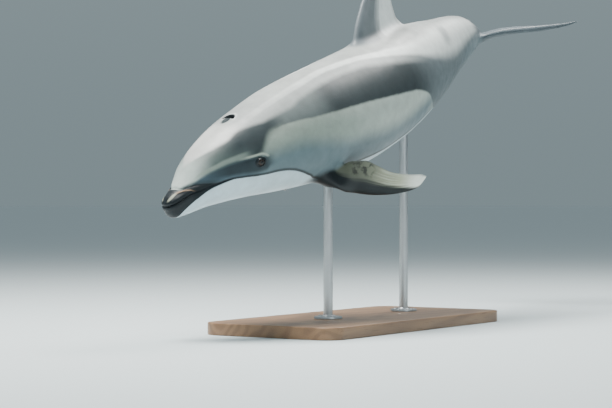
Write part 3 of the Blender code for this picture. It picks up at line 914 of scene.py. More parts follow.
def bellyRelief(station, side, degrees):
    navel = segmentGap(station * percent, side, *relief["navelLine"])
    slit = segmentGap(station * percent, side, *relief["slitLine"])
    push = rimOn(slit, relief["slitRim"]) - relief["slit"] * bell(slit, relief["slitWidth"])
    return (degrees > 150) * (push - relief["navel"] * bell(navel, relief["navelWidth"]))


def neckRelief(station, side, degrees):
    # wavy folds on the inner side of the bent neck
    push = np.zeros(len(station))
    for place, depth in relief["neckFolds"]:
        bend = place + 0.5 * np.sin(degrees / 26.0 + place)
        push -= depth * bell((station - bend) * percent, relief["neckFoldWidth"])
    return push * ease(-side, 0.02, 0.10) * ease(degrees, 35, 70) * (1 - ease(degrees, 130, 165))


def keelRelief(station, angle):
    # the tail stock's edges, above and below
    edge = 1 - ease(np.minimum(np.abs(angle), math.pi - np.abs(angle)), 0.0, 0.35)
    return relief["keel"] * edge * ease(station, 66, 80) * (1 - ease(station, 90, 97))


def carveRelief(thing):
    co = coordinatesOf(thing.data)
    normals = np.empty(len(co) * 3)
    thing.data.vertices.foreach_get("normal", normals)
    station, side, height = bodyCoordinates(co)
    angle, outward = roundAngle(station, side, height)
    degrees = np.degrees(np.abs(angle))
    onBody = outward < 1.05
    head = (station < relief["headEnd"]) & (outward < 1.06)
    push = head * (mouthRelief(station, height) + creaseRelief(station, degrees))
    for here, out, back, rise in eyePlaces().values():
        offset = co - here
        x, y = offset @ back, offset @ rise
        near = (np.sum(offset * out, -1) > -0.03) & (np.hypot(x, y) < 0.075)
        push += near * head * eyeRelief(x, y)
    slot, hole, bowlShade = blowholeRelief(co, head)
    push += slot
    push += onBody * (bellyRelief(station, side, degrees) + neckRelief(station, side, degrees)
                      + keelRelief(station, angle))
    thing.data.vertices.foreach_set("co", (co + normals.reshape(-1, 3) * push[:, None]).ravel())
    thing.data.update()
    return {"blowhole": hole, "bowlShade": bowlShade}


# measures stored on the skin's points, for its paint
def chordShare(fin, along, reach):
    # 0 at the leading edge, 1 at the trailing edge
    lead, trail = curve(fin["lead"], reach), curve(fin["trail"], reach)
    return (along - lead) / (trail - lead)


def dorsalPlace(co):
    foot = dorsal["station"] + dorsal["foot"]
    back, _, up = axesAt(foot)
    offset = co - spineAt(foot)
    reach = (offset @ up - float(sectionSizes(foot)[0])) / (dorsal["height"] * percent)
    return chordShare(dorsal, offset @ back / percent + dorsal["foot"], reach), reach, np.zeros(len(co))


def flipperPlace(co, sign):
    root, out, far, near = flipperFrame(sign)
    offset = co - root
    reach = offset @ out / (flipper["span"] * percent)
    twist = ease(reach, 0.0, flipper["twistSpan"])[:, None]
    across = unit(near * (1 - twist) + far * twist)
    across = unit(across - out * (across @ out)[:, None])
    along = np.sum(offset * across, -1) / percent
    upward = np.sum(offset * unit(np.cross(out, across)), -1) * sign
    return chordShare(flipper, along, reach), reach, upward / faceStep


def flukePlace(co):
    back, left, up = axesAt(fluke["station"])
    offset = co - spineAt(fluke["station"])
    reach = np.abs(offset @ left) / (fluke["span"] * percent)
    along = offset @ back / percent + fluke["station"]
    upward = offset @ up - curve(fluke["lift"], reach) * percent
    return chordShare(fluke, along, reach), reach, upward / faceStep


def rootShade(co, sign):
    # a dark spot round the front of a flipper's root, drawn out forwards
    root, _, _, near = flipperFrame(sign)
    offset = co - (root + near * (float(curve(flipper["lead"], 0.05)) + 0.6) * percent)
    ahead = offset @ near
    aside = np.linalg.norm(offset - np.outer(ahead, near), axis=1)
    return 1 - ease(np.hypot(aside, ahead * np.where(ahead < 0, 0.55, 1.0)), 0.016, 0.055)


def eyeField(co):
    # tailward and upward distance from the nearer eye
    gaps, along, rise = [], [], []
    for here, _, back, up in eyePlaces().values():
        offset = co - here
        gaps.append(np.linalg.norm(offset, axis=1))
        along.append(offset @ back)
        rise.append(offset @ up)
    nearer = gaps[0] < gaps[1]
    return np.where(nearer, *along), np.where(nearer, *rise)


def storeFields(thing, extra):
    co = coordinatesOf(thing.data)
    station, side, height = bodyCoordinates(co)
    angle, outward = roundAngle(station, side, height)
    above = np.abs(angle) < 0.6
    zones = [(station > fin["zone"][0]) & (station < fin["zone"][1]) for fin in (dorsal, flipper, fluke)]
    onDorsal, onFlipper, onFluke = zones[0] & above, zones[1] & ~above, zones[2]
    chord, span, face = np.zeros((3, len(co)))
    for here, place in ((onDorsal, dorsalPlace(co)), (onFlipper & (side > 0), flipperPlace(co, 1)),
                        (onFlipper & (side < 0), flipperPlace(co, -1)), (onFluke, flukePlace(co))):
        for values, found in zip((chord, span, face), place):
            values[here] = found[here]
    aside = np.abs(side) / sectionSizes(station)[2]
    eyeAlong, eyeUp = eyeField(co)
    fields = {
        "station": station, "around": np.degrees(np.abs(angle)),
        "onDorsal": ease(outward, 1.002, 1.045) * onDorsal,
        "onFlipper": ease(outward, 1.008, 1.07) * onFlipper,
        "onFluke": np.where(station > 97.2, 1.0, ease(aside, 1.03, 1.35) * onFluke),
        "rootShadow": np.maximum(rootShade(co, 1), rootShade(co, -1)),
        "chord": np.clip(chord, -1, 2), "span": np.clip(span, -1, 1.2), "face": np.clip(face, -1, 1),
        "eyeAlong": np.clip(eyeAlong, -1, 1), "eyeUp": np.clip(eyeUp, -1, 1), **extra,
    }
    for name, values in fields.items():
        layer = thing.data.attributes.new(name, "FLOAT", "POINT")
        layer.data.foreach_set("value", np.asarray(values, np.float32))


storeFields(skin, carveRelief(skin))
skin.data.shade_smooth()
print("relief carved")


# the painted skin
paint = {
    "white": (0.52, 0.64, 0.69),
    "patch": (0.29, 0.34, 0.295),
    "patchRear": (0.49, 0.54, 0.49),
    "patchShade": (0.082, 0.130, 0.160),
    "band": (0.032, 0.042, 0.045),
    "bandSoft": (0.105, 0.125, 0.125),
    "bandUpper": (0.27, 0.29, 0.285),
    "bandFront": (0.024, 0.034, 0.038),
    "cape": (0.31, 0.33, 0.32),
    "stripe": (0.68, 0.72, 0.70),
    "flank": (0.13, 0.155, 0.165),
    "stockLow": (0.20, 0.25, 0.27),
    "crown": (0.44, 0.45, 0.435),
    "face": (0.070, 0.095, 0.090),
    "melon": (0.39, 0.45, 0.425),
    "shadedJowl": (0.062, 0.100, 0.124),
    "streak": (0.21, 0.26, 0.225),
    "brow": (0.40, 0.45, 0.38),
    "eyePatch": (0.022, 0.034, 0.040),
    "black": (0.010, 0.014, 0.017),
    "ledgeHighlight": (0.38, 0.40, 0.31),
    "ledgeHighlightRear": (0.30, 0.20, 0.13),
    "rootShadow": (0.020, 0.025, 0.028),
    "finDark": (0.19, 0.21, 0.22),
    "finPale": (0.86, 0.90, 0.88),
    "flipperDark": (0.010, 0.014, 0.016),
    "flipperRoot": (0.10, 0.108, 0.078),
    "flipperPale": (0.40, 0.41, 0.30),
    "flipperStreak": (0.60, 0.62, 0.50),
    "flipperTip": (0.82, 0.84, 0.77),
    "blotch": (0.026, 0.027, 0.022),
    "beneathFront": (0.020, 0.026, 0.030),
    "beneath": (0.10, 0.12, 0.13),
    "fluke": (0.088, 0.110, 0.124),
    "flukePale": (0.24, 0.28, 0.30),
}

# lines of the pattern: station, then degrees round from the top
pattern = {
    "belly": ((0, 96), (6, 96), (8, 98), (10, 104), (13, 111), (15, 112), (17, 116), (18.5, 122),
              (20.8, 134), (23, 143), (26, 142), (28, 138), (31, 136), (40, 138), (46, 138), (50, 135),
              (54, 135), (60, 136), (66, 137), (72, 142), (80, 150), (90, 158), (100, 165)),
    "sideShade": ((0, 84), (18, 84), (22, 90), (26, 96), (30, 100), (35, 104), (42, 107), (50, 104),
                  (100, 104)),
    "patchTop": ((0, 60), (10, 88), (12.2, 87), (13.0, 83), (13.9, 73), (14.8, 65), (15.8, 61),
                 (17, 60.5), (19.8, 63), (23, 66), (26.6, 68), (31, 70), (36, 74), (41.4, 80), (47, 88),
                 (50, 98), (52.5, 114), (55, 132), (60, 150), (70, 162), (100, 170)),
    "bandTop": ((0, 32), (10, 32), (12, 35), (14, 40), (16, 44), (19, 44), (22, 38), (26, 33), (31, 31),
                (35.4, 33.5), (40, 40), (45, 50), (54, 70), (61.5, 91), (100, 110)),
    "stripeMiddle": ((0, 30), (12, 27), (18, 24), (24, 19.5), (30, 15.5), (34.4, 19), (38.8, 24),
                     (45.8, 37), (50.4, 46), (56, 54), (62, 56), (70, 54), (80, 52), (90, 50),
                     (100, 50)),
    # degrees from the stripe's middle to its edge
    "stripeHalf": ((0, 6), (24, 5.5), (34, 5), (40, 5), (46, 6.5), (50, 9), (56, 17), (62, 27),
                   (70, 33), (80, 30), (90, 20), (100, 10)),
    # out of 180
    "stripeStrength": ((0, 0), (12, 0), (16, 25), (24, 70), (34, 120), (42, 150), (60, 160), (76, 150),
                       (86, 80), (94, 0), (100, 0)),
    "crown": ((0, 0), (4.2, 0), (4.8, 6), (6.4, 24), (7.6, 32), (9, 38), (10.2, 40), (12, 36), (14, 38),
              (25, 40)),
    "eyePatchTop": ((0, 48), (3, 51), (4.6, 61), (6.6, 71), (8.2, 75), (9.6, 79), (11, 82), (12.2, 84),
                    (13.2, 86), (25, 90)),
    "eyePatchLow": ((0, 60), (4.4, 66), (6.2, 83), (7.6, 90), (9.6, 97), (11.8, 104), (13, 105),
                    (14, 100), (25, 98)),
    "lipTop": ((0, 0), (1.9, 0), (2.15, 14), (2.4, 34), (3.0, 46), (3.6, 58), (4.6, 77), (6.0, 91),
               (7.6, 96), (9, 100)),
    "lipLow": ((0, 180), (0.6, 180), (0.95, 152), (1.2, 132), (2.0, 109), (3.2, 98), (5.4, 97),
               (6.4, 98), (7.6, 99), (9, 100)),
    "ledgeHighlightMiddle": ((0, 31), (0.8, 33), (1.5, 32), (2.2, 40), (3.0, 60), (3.6, 76), (9, 90)),
    "ledgeHighlightHalf": ((0, 8), (0.8, 9), (1.5, 6), (2.2, 4), (3.0, 3.5), (3.8, 2.5), (9, 2)),
    # share of the span, then the chord's share at which the pale part starts, out of 180
    "flipperEdge": ((0, 120), (0.12, 105), (0.3, 84), (0.6, 84), (0.8, 60), (0.92, 20), (1, 0)),
}


class SkinRecipe(Recipe):
    # adds the measures that all of the pattern is drawn with
    def __init__(self):
        super().__init__("paintedSkin")
        self.place = self.objectPlace()
        self.station, self.around = self.field("station"), self.field("around")
        self.wander = self.minus(self.noise(self.place, 9.0, 2.0), 0.5)      # slow wandering of an edge
        self.fray = self.minus(self.noise(self.place, 60.0, 3.0, 0.6), 0.5)  # fine soft fraying
        shift = self.plus(self.times(self.wander, 3.6), self.times(self.fray, 1.4))
        self.loose = self.plus(self.around, shift)      # degrees from the top, for wandering edges
        self.tight = self.plus(self.around, self.times(self.fray, 0.7))   # and for neat ones

    def along(self, points):
        return self.line(self.station, points)

    def over(self, points, low, high):
        # 1 above a line of the pattern, 0 below it, soft from low to high degrees
        return self.ease(self.minus(self.along(points), self.loose), low, high)

    def under(self, points):
        # degrees below a line of the pattern
        return self.minus(self.tight, self.along(points))

    def behind(self, start, full):
        return self.ease(self.station, start, full)


def sideColour(mix):
    # white belly, with the grey side over it down to the thin dark line, and painted shade over the lower
    # side
    side = mix.over(pattern["belly"], -1.5, 2.0)
    patch = mix.lay(paint["patch"], paint["patchRear"], mix.behind(19.0, 42.0))
    colour = mix.lay(paint["white"], patch, side)
    # painted shade: the lower side darkened below the sideShade line
    colour = mix.lay(colour, paint["patchShade"], mix.over(pattern["sideShade"], 9.0, -14.0), side,
                     mix.behind(58.0, 50.0), 0.85)

    # the dark band over the side, with a softer edge on the head
    sharp = mix.times(mix.over(pattern["patchTop"], -1.6, 1.8), mix.behind(15.0, 19.0))
    faint = mix.times(mix.over(pattern["patchTop"], -9.0, 7.0), mix.behind(19.0, 15.0))
    band = mix.lay(paint["band"], paint["bandSoft"], mix.behind(15.5, 18.5), mix.behind(27.0, 22.5))
    band = mix.blend(mix.over(pattern["bandTop"], 3.0, -6.0), paint["bandUpper"], band)
    band = mix.lay(band, paint["flank"], mix.behind(46.0, 56.0))
    colour = mix.lay(colour, band, mix.plus(sharp, faint), mix.behind(8.0, 9.8))

    # the cape, and the pale stripe that widens towards the tail
    middle, half = mix.along(pattern["stripeMiddle"]), mix.along(pattern["stripeHalf"])
    cape = mix.lay(paint["cape"], paint["bandUpper"], mix.behind(54.0, 66.0))
    colour = mix.lay(colour, cape, mix.ease(mix.minus(middle, mix.loose), -2.0, 2.0), mix.behind(15.0, 22.0))
    stripe = mix.ease(mix.share(mix.apart(mix.loose, middle), half), 1.25, 0.45)
    strength = mix.share(mix.along(pattern["stripeStrength"]), 180.0)
    colour = mix.lay(colour, paint["stripe"], stripe, strength)

    # a grey smudge across the stripe, and the darker end of the tail
    slope = mix.plus(mix.minus(mix.station, 65.2), mix.times(mix.minus(mix.around, 50.0), 0.05))
    colour = mix.lay(colour, paint["flank"], mix.ease(mix.math("ABSOLUTE", slope), 2.8, 0.4),
                     mix.ease(mix.apart(mix.around, 48.0), 24.0, 6.0), 0.55)
    colour = mix.lay(colour, paint["stockLow"], mix.behind(68.0, 82.0),
                     mix.ease(mix.around, 70.0, 110.0), 0.8)
    return mix.lay(colour, paint["fluke"], mix.behind(84.0, 95.0), 0.9)


def headColour(mix, colour):
    # the melon, darker towards the neck, with the pale crown: grey with a painted highlight from above
    slope = mix.plus(mix.station, mix.times(mix.around, 0.018))
    face = mix.lay(paint["melon"], paint["face"], mix.ease(slope, 4.0, 8.4))
    face = mix.lay(face, paint["bandFront"],
                   mix.ease(mix.plus(mix.station, mix.times(mix.wander, 1.6)), 7.2, 11.4),
                   mix.plus(0.55, mix.times(mix.ease(mix.around, 74.0, 58.0), 0.45)))
    # the crown colour: grey lightened by a painted highlight on the top of the head
    face = mix.lay(face, paint["crown"], mix.over(pattern["crown"], -5.0, 4.0), mix.behind(4.0, 5.6))

    # the jowl in painted shade, the pale streak over the eye patch, the white throat, and the eye patch
    # itself
    low = mix.under(pattern["eyePatchTop"])
    face = mix.lay(face, paint["shadedJowl"], mix.ease(low, -5.0, 7.0))
    face = mix.lay(face, paint["streak"], mix.ease(mix.math("ABSOLUTE", mix.plus(low, 6.5)), 6.5, 1.5),
                   mix.behind(3.4, 5.2), mix.behind(12.6, 10.6), 0.75)
    throat = mix.ease(mix.minus(mix.around, mix.along(pattern["belly"])), -1.0, 1.5)
    face = mix.lay(face, paint["white"], throat)
    colour = mix.lay(colour, face, mix.behind(13.2, 10.2))
    colour = mix.lay(colour, paint["eyePatch"], mix.ease(low, -2.5, 3.5),
                     mix.ease(mix.under(pattern["eyePatchLow"]), 4.0, -4.0), mix.behind(3.2, 8.6),
                     mix.behind(14.9, 13.2), 0.95)

    # the blowhole: a painted highlight on its lip, painted shade in its bowl, and the slot painted black as
    # shade
    slot = mix.field("blowhole")
    colour = mix.lay(colour, paint["stripe"], mix.ease(slot, 0.019, 0.011), 0.3)
    colour = mix.lay(colour, paint["bandFront"], mix.field("bowlShade"), 0.98)
    return mix.lay(colour, paint["black"], mix.ease(slot, 0.0105, 0.0065))


def mouthColour(mix, colour):
    # the thin dark line from the mouth's corner to the flipper and on along the belly
    off = mix.under(pattern["belly"])
    colour = mix.lay(colour, paint["black"], mix.ease(off, 1.9, 0.7), mix.ease(off, -4.2, -0.8),
                     mix.behind(5.5, 7.5), mix.behind(58.0, 50.0), 0.92)

    # black lips and tip of the beak, with painted shade above them
    below = mix.ease(mix.under(pattern["lipLow"]), 1.5, -1.5)
    onLip = mix.under(pattern["lipTop"])
    lips = mix.times(mix.ease(onLip, -3.0, 1.0), below, mix.behind(9.0, 7.6))
    tip = mix.times(mix.behind(2.3, 1.9), mix.math("MAXIMUM", below, mix.behind(0.95, 0.8)))
    lips = mix.math("MAXIMUM", lips, tip)
    # painted shade under the melon, above the lips
    colour = mix.lay(colour, paint["eyePatch"], mix.ease(onLip, -17.0, -1.0), below, mix.behind(2.0, 2.8),
                     mix.behind(7.6, 5.6), 0.75)
    colour = mix.lay(colour, paint["black"], lips)

    # a painted highlight on the ledge along the upper lip, pale in front and brown behind
    off = mix.apart(mix.loose, mix.along(pattern["ledgeHighlightMiddle"]))
    ledgeHighlight = mix.lay(paint["ledgeHighlight"], paint["ledgeHighlightRear"], mix.behind(1.3, 1.9))
    colour = mix.lay(colour, ledgeHighlight, mix.ease(mix.share(off, mix.along(pattern["ledgeHighlightHalf"])), 1.3, 0.4),
                     mix.behind(3.7, 2.7), mix.behind(0.1, 0.5), 0.75)
    return colour, lips


def eyeColour(mix, colour):
    # black lids and a pale brow, painted as a highlight along the brow ridge
    along, rise = mix.field("eyeAlong"), mix.field("eyeUp")
    lids = mix.hypot(mix.share(along, 0.0150), mix.share(rise, 0.0125))
    colour = mix.lay(colour, paint["black"], mix.ease(lids, 1.35, 0.95))
    middle = (relief["browFront"] + relief["browRear"]) / 2
    swing = (relief["browRear"] - relief["browFront"]) / 2
    longWay = mix.share(along, mix.plus(middle, mix.times(mix.math("SIGN", along), swing)))
    tilted = mix.plus(rise, mix.times(mix.math("MINIMUM", along, 0.0), relief["browBend"]))
    arc = mix.hypot(longWay, mix.share(tilted, relief["browHigh"]))
    return mix.lay(colour, paint["brow"], mix.ease(mix.apart(arc, 1.03), 0.22, 0.04),
                   mix.ease(rise, 0.004, 0.012), mix.ease(along, -0.075, -0.02), 0.7)


def dorsalTone(mix, chord, edge):
    tone = mix.lay(paint["finDark"], paint["finPale"], mix.ease(edge, 0.30, 0.62))
    tone = mix.lay(tone, paint["bandUpper"], mix.ease(chord, 0.90, 1.0), 0.45)
    return mix.lay(tone, paint["fluke"], mix.ease(chord, 0.16, 0.02), 0.7)


def flipperTone(mix, chord, span, streak, edge):
    # black front, mottled pale rear that widens towards the tip, and a dark underside
    onTop = mix.lay(paint["flipperRoot"], paint["flipperPale"], mix.ease(span, 0.28, 0.80))
    onTop = mix.lay(onTop, paint["flipperStreak"], mix.ease(streak, 0.50, 0.62),
                    mix.ease(span, 0.42, 0.66), 0.55)
    onTop = mix.lay(onTop, paint["flipperTip"], mix.ease(span, 0.72, 0.92))
    start = mix.share(mix.line(span, pattern["flipperEdge"]), 180.0)
    tone = mix.lay(paint["flipperDark"], onTop, mix.ease(mix.minus(edge, start), -0.10, 0.16))
    tone = mix.lay(tone, paint["blotch"], mix.ease(mix.apart(span, 0.34), 0.15, 0.07),
                   mix.ease(mix.apart(chord, 0.80), 0.26, 0.12),
                   mix.ease(mix.noise(mix.place, 44.0, 3.0, 0.55), 0.45, 0.62), 0.95)
    beneath = mix.lay(paint["beneathFront"], paint["beneath"], mix.ease(chord, 0.1, 0.6))
    return mix.lay(beneath, tone, mix.ease(mix.field("face"), -0.3, 0.4))


def finColour(mix, colour):
    colour = mix.lay(colour, paint["rootShadow"], mix.field("rootShadow"), 0.93)
    chord, span = mix.field("chord"), mix.field("span")
    # streaks that run along the span fray the edge between dark and pale
    streak = mix.noise(mix.add("ShaderNodeCombineXYZ", {0: mix.times(chord, 7.0), 1: span, 2: 0.3}), 2.4, 3.0)
    edge = mix.plus(chord, mix.times(mix.minus(streak, 0.5), 0.22))
    colour = mix.lay(colour, dorsalTone(mix, chord, edge), mix.field("onDorsal"))
    colour = mix.lay(colour, flipperTone(mix, chord, span, streak, edge), mix.field("onFlipper"))
    flukeTone = mix.lay(paint["fluke"], paint["flukePale"], mix.ease(span, 0.75, 0.2),
                        mix.ease(chord, 0.05, 0.5), 0.5)
    return mix.lay(colour, flukeTone, mix.field("onFluke"))


def skinPaint():
    mix = SkinRecipe()
    colour, lips = mouthColour(mix, headColour(mix, sideColour(mix)))
    colour = finColour(mix, eyeColour(mix, colour))

    # slight mottling, and a soft wet sheen that is duller on the lips' side and in the blowhole
    tone = mix.times(mix.spread(mix.noise(mix.place, 26.0, 5.0, 0.62), 0.90, 1.10),
                     mix.spread(mix.noise(mix.place, 5.0, 2.0), 0.94, 1.06))
    grey = mix.add("ShaderNodeCombineColor", {0: tone, 1: tone, 2: tone})
    colour = mix.blend(1.0, colour, grey, "MULTIPLY")
    dull = mix.plus(mix.times(lips, mix.behind(2.4, 3.4), 0.38), mix.times(mix.field("bowlShade"), 0.55))
    rough = mix.plus(mix.spread(mix.noise(mix.place, 34.0, 4.0), 0.34, 0.50), dull)
    mix.shade(Base_Color=colour, Roughness=rough, Coat_Weight=0.05, Coat_Roughness=0.25,
              Specular_IOR_Level=0.24)
    pores = mix.plus(mix.times(mix.noise(mix.place, 240.0, 3.0, 0.6), 0.6),
                     mix.noise(mix.place, 30.0, 4.0, 0.55))
    mix.bump(pores, 0.35, 0.0012)
    return mix.material


skin.data.materials.clear()
skin.data.materials.append(skinPaint())
for old in marker:
    bpy.data.materials.remove(old)
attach(skin, "root")
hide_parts("upper_beak", "melon", "lower_jaw", "head", "neck", "chest", "midbody", "loin",
            "tail_stock_front", "tail_stock_rear", "dorsal_fin", "flipper_left", "flipper_right",
            "fluke_left", "fluke_right")
print("skin painted")

# eyes
eyeball = {
    "pupil": 0.30, "iris": 0.62,          # radians from the front of the eye
    "bulge": 0.0006, "bulgeEnd": 0.62,    # how far the front stands out, and where that ends
    "pupilColour": (0.003, 0.003, 0.004),
    "irisDark": (0.012, 0.008, 0.006),
    "irisPale": (0.032, 0.020, 0.013),
    "rimColour": (0.030, 0.026, 0.026),
}


def eyePaint():
    mix = Recipe("glassEye")
    ring = mix.field("ring")
    iris = mix.blend(mix.noise(mix.objectPlace(), 900.0, 2.0), eyeball["irisDark"], eyeball["irisPale"])
    outOfPupil = mix.ease(ring, eyeball["pupil"] - 0.03, eyeball["pupil"] + 0.03)
    outOfIris = mix.ease(ring, eyeball["iris"] - 0.05, eyeball["iris"] + 0.06)
    colour = mix.blend(outOfIris, mix.blend(outOfPupil, eyeball["pupilColour"], iris), eyeball["rimColour"])
    mix.shade(Base_Color=colour, Roughness=0.22, Coat_Weight=0.35, Coat_Roughness=0.04,
              Specular_IOR_Level=0.2)
    return mix.material


eyeMaterial = eyePaint()
for name, (here, out, back, rise) in eyePlaces().items():
    made = bmesh.new()
    radius = shell["eyeRadius"]
    bmesh.ops.create_uvsphere(made, u_segments=48, v_segments=32, radius=radius)
    local = np.array([v.co for v in made.verts])
    tilt = np.arccos(np.clip(local[:, 2] / radius, -1, 1))
    swell = 1 + eyeball["bulge"] / radius * (1 - ease(tilt, eyeball["pupil"] / 2, eyeball["bulgeEnd"]))
    local = local * swell[:, None]
    middle = here - out * (radius - shell["eyeShows"])
    for v, p in zip(made.verts, local):
        v.co = middle + back * p[0] + rise * p[1] + out * p[2]
    made.normal_update()
    bmesh.ops.recalc_face_normals(made, faces=made.faces)
    eye = meshObject("eye" + name.capitalize(), made, [eyeMaterial])
    layer = eye.data.attributes.new("ring", "FLOAT", "POINT")
    layer.data.foreach_set("value", tilt.astype(np.float32))
    eye.data.shade_smooth()
    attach(eye, "root")
    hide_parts("eye_" + name)
print("eyes set")

# the stand: board, rods, flanges and their screws
stand = {
    "boardCorner": 0.06, "boardEdge": 0.004, "cornerSteps": 15, "edgeSteps": 7,
    "rodRadius": 0.014, "rodInto": 0.006,
    "screwRing": 0.030, "screwCount": 4,
    "screwRadius": 0.0046, "screwHeight": 0.0022, "screwSides": 28,
    "screwTop": 0.72,       # share of the head's radius
    "screwSeat": 0.0084,    # the heads' underside over the flange's foot
    "slotWidth": 0.0011, "slotLength": 0.05,
    "slotTurns": 3.1, "slotSeed": 5,   # each slot is turned by up to so many radians
}
timber = {
    "pale": (0.27, 0.150, 0.078), "dark": (0.150, 0.078, 0.040), "fibre": (0.36, 0.22, 0.125),
    "pore": (0.06, 0.030, 0.016),
}
metal = {"dark": (0.46, 0.47, 0.48), "pale": (0.64, 0.65, 0.66)}


def lathe(name, centre, profile, material, around=64):
    # a turned piece: (radius, height) pairs from the bottom up, on a vertical axis
    made = bmesh.new()
    turns = np.linspace(0, 2 * math.pi, around, endpoint=False)
    rings = []
    x, y = centre
    for radius, z in profile:
        used = turns if radius > 0.0 else turns[:1]
        rings.append([made.verts.new((x + radius * math.cos(t), y + radius * math.sin(t), z)) for t in used])
    for low, high in zip(rings, rings[1:]):
        for k in range(around):
            m = (k + 1) % around
            corners = (low[k % len(low)], low[m % len(low)], high[m % len(high)], high[k % len(high)])
            made.faces.new(list(dict.fromkeys(corners)))     # a triangle where a ring is one point
    bmesh.ops.recalc_face_normals(made, faces=made.faces)
    thing = meshObject(name, made, [material])
    thing.data.shade_smooth()
    thing.data.set_sharp_from_angle(angle=math.radians(35))
    return thing


def woodPaint():
    mix = Recipe("oiledWalnut")
    place = mix.objectPlace()
    figure = mix.noise(place, 4.5, 2.0, 0.45, stretch=(1.0, 0.13, 1.0))
    rings = mix.ease(mix.math("SINE", mix.times(figure, 95.0)), -0.9, 1.0)
    fibre = mix.noise(place, 75.0, 4.0, 0.7, stretch=(5.0, 0.16, 5.0))
    pore = mix.ease(mix.noise(place, 170.0, 2.0, 0.6, stretch=(3.0, 0.07, 3.0)), 0.60, 0.70)
    colour = mix.lay(timber["pale"], timber["dark"], rings, 0.75)
    colour = mix.lay(colour, timber["fibre"], fibre, 0.45)
    colour = mix.lay(colour, timber["pore"], pore, 0.6)
    mix.shade(Base_Color=colour, Roughness=0.42, Coat_Weight=0.18, Coat_Roughness=0.18)
    mix.bump(mix.plus(fibre, mix.times(pore, -0.8)), 0.15, 0.0005)
    return mix.material


def steelPaint():
    mix = Recipe("brushedSteel")
    brush = mix.noise(mix.objectPlace(), 120.0, 4.0, 0.65, stretch=(1.0, 1.0, 14.0))
    mix.shade(Base_Color=mix.blend(brush, metal["dark"], metal["pale"]), Metallic=1.0,
              Roughness=mix.spread(brush, 0.24, 0.42, 0.0, 1.0))
    mix.bump(brush, 0.12, 0.0003)
    return mix.material


def boardRing(made, low, high, inset, z):
    # the board's outline with its round corners, moved in by the inset
    ring = []
    corner = stand["boardCorner"]
    last = stand["cornerSteps"] - 1
    for quarter, (sx, sy) in enumerate(((1, 1), (-1, 1), (-1, -1), (1, -1))):
        x = (low.x + high.x) / 2 + sx * ((high.x - low.x) / 2 - corner)
        y = (low.y + high.y) / 2 + sy * ((high.y - low.y) / 2 - corner)
        for k in range(last + 1):
            turn = math.pi / 2 * (quarter + k / last)
            aside, along = (corner - inset) * math.cos(turn), (corner - inset) * math.sin(turn)
            ring.append(made.verts.new((x + aside, y + along, z)))
    return ring


def boardShell():
    low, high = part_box("stand_base")
    edge = stand["boardEdge"]
    levels = [(edge * 0.5, low.z), (0.0, low.z + edge * 0.5)]
    levels += [(edge * (1 - math.cos(t)), high.z - edge + edge * math.sin(t))
               for t in np.linspace(0, math.pi / 2, stand["edgeSteps"])]
    made = bmesh.new()
    rings = [boardRing(made, low, high, inset, z) for inset, z in levels]
    for below, above in zip(rings, rings[1:]):
        for k in range(len(below)):
            m = (k + 1) % len(below)
            made.faces.new((below[k], below[m], above[m], above[k]))
    made.faces.new(rings[0])
    made.faces.new(rings[-1])
    bmesh.ops.recalc_face_normals(made, faces=made.faces)
    return made


wood, steel = woodPaint(), steelPaint()
board = meshObject("displayBoard", boardShell(), [wood])
board.data.shade_smooth()
board.data.set_sharp_from_angle(angle=math.radians(30))
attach(board, "root")
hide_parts("stand_base")


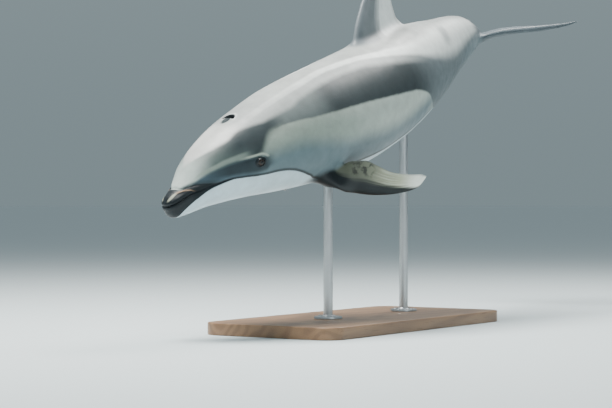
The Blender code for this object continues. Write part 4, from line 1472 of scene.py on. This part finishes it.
def screwTree():
    # a ring of slotted screw heads: one head, copied onto the points of a circle
    tree = bpy.data.node_groups.new("screwRing", "GeometryNodeTree")
    tree.interface.new_socket("Geometry", in_out="INPUT", socket_type="NodeSocketGeometry")
    settings = {}
    for label, kind, value in (
            ("Count", "Int", stand["screwCount"]), ("Ring radius", "Float", stand["screwRing"]),
            ("Head radius", "Float", stand["screwRadius"]), ("Head height", "Float", stand["screwHeight"]),
            ("Slot width", "Float", stand["slotWidth"]), ("Material", "Material", steel)):
        made = tree.interface.new_socket(label, in_out="INPUT", socket_type="NodeSocket" + kind)
        settings[made.identifier] = value
    tree.interface.new_socket("Geometry", in_out="OUTPUT", socket_type="NodeSocketGeometry")

    mix = Recipe(tree=tree)
    given = tree.nodes.new("NodeGroupInput").outputs
    circle = mix.add("GeometryNodeMeshCircle", {"Vertices": given["Count"], "Radius": given["Ring radius"]})
    head = mix.add("GeometryNodeMeshCone", {
        "Vertices": stand["screwSides"], "Side Segments": 2, "Depth": given["Head height"],
        "Radius Bottom": given["Head radius"],
        "Radius Top": mix.times(given["Head radius"], stand["screwTop"])})
    slotSize = mix.add("ShaderNodeCombineXYZ", {0: stand["slotLength"], 1: given["Slot width"],
                                                2: given["Slot width"]})
    lift = mix.add("ShaderNodeCombineXYZ", {2: given["Head height"]})
    slot = mix.add("GeometryNodeTransform", {"Geometry": mix.add("GeometryNodeMeshCube", {"Size": slotSize}),
                                             "Translation": lift})
    head = mix.add("GeometryNodeMeshBoolean", {"Mesh 1": head, "Mesh 2": slot}, operation="DIFFERENCE",
                   solver="EXACT")
    turn = mix.add("FunctionNodeRandomValue", {2: 0.0, 3: stand["slotTurns"], "Seed": stand["slotSeed"]},
                   out=1, data_type="FLOAT")
    spin = mix.add("ShaderNodeCombineXYZ", {2: turn})
    copies = mix.add("GeometryNodeInstanceOnPoints", {"Points": circle, "Instance": head, "Rotation": spin})
    real = mix.add("GeometryNodeRealizeInstances", {"Geometry": copies})
    painted = mix.add("GeometryNodeSetMaterial", {"Geometry": real, "Material": given["Material"]})
    mix.feed(tree.nodes.new("NodeGroupOutput").inputs[0], painted)
    return tree, settings


def screws(name, centre, z):
    tree, settings = screwTree()
    holder = meshObject(name, bmesh.new(), [steel])
    step = holder.modifiers.new("screws", "NODES")
    step.node_group = tree
    for identifier, value in settings.items():
        step[identifier] = value
    holder.update_tag()
    bpy.context.view_layer.update()
    bakeModifiers(holder)
    holder.data.transform(Matrix.Translation((centre[0], centre[1], z)))
    holder.data.set_sharp_from_angle(angle=math.radians(30))
    return holder


def flangeProfile(bore, wide, foot, top):
    # a flat plate with a rounded edge, and a collar up to the rod
    inner = bore + 0.0002
    return [(inner, foot), (wide - 0.0008, foot), (wide, foot + 0.0008), (wide, foot + 0.0058),
            (wide - 0.0006, foot + 0.0070), (wide - 0.0018, foot + 0.0076), (bore + 0.0095, foot + 0.0080),
            (bore + 0.0078, foot + 0.0086), (bore + 0.0070, foot + 0.0100), (bore + 0.0066, top - 0.0008),
            (bore + 0.0058, top), (bore + 0.0012, top), (inner, top - 0.0008), (inner, foot)]


for place in ("front", "rear"):
    rodNode, flangeNode = "stand_rod_" + place, "stand_flange_" + place
    rodLow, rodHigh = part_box(rodNode)
    plateLow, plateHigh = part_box(flangeNode)
    centre = ((rodLow.x + rodHigh.x) / 2, (rodLow.y + rodHigh.y) / 2)
    radius, rodTop = stand["rodRadius"], rodHigh.z + stand["rodInto"]
    rod = lathe("rod" + place.capitalize(), centre,
                [(0.0, rodLow.z), (radius, rodLow.z), (radius, rodTop), (0.0, rodTop)], steel)
    profile = flangeProfile(radius, (plateHigh.x - plateLow.x) / 2, plateLow.z, plateHigh.z)
    flange = lathe("flange" + place.capitalize(), centre, profile, steel, 96)
    ring = screws("screws" + place.capitalize(), centre, plateLow.z + stand["screwSeat"])
    for piece, node in ((rod, rodNode), (flange, flangeNode), (ring, None)):
        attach(piece, "root")
        if node:
            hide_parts(node)
print("stand made")
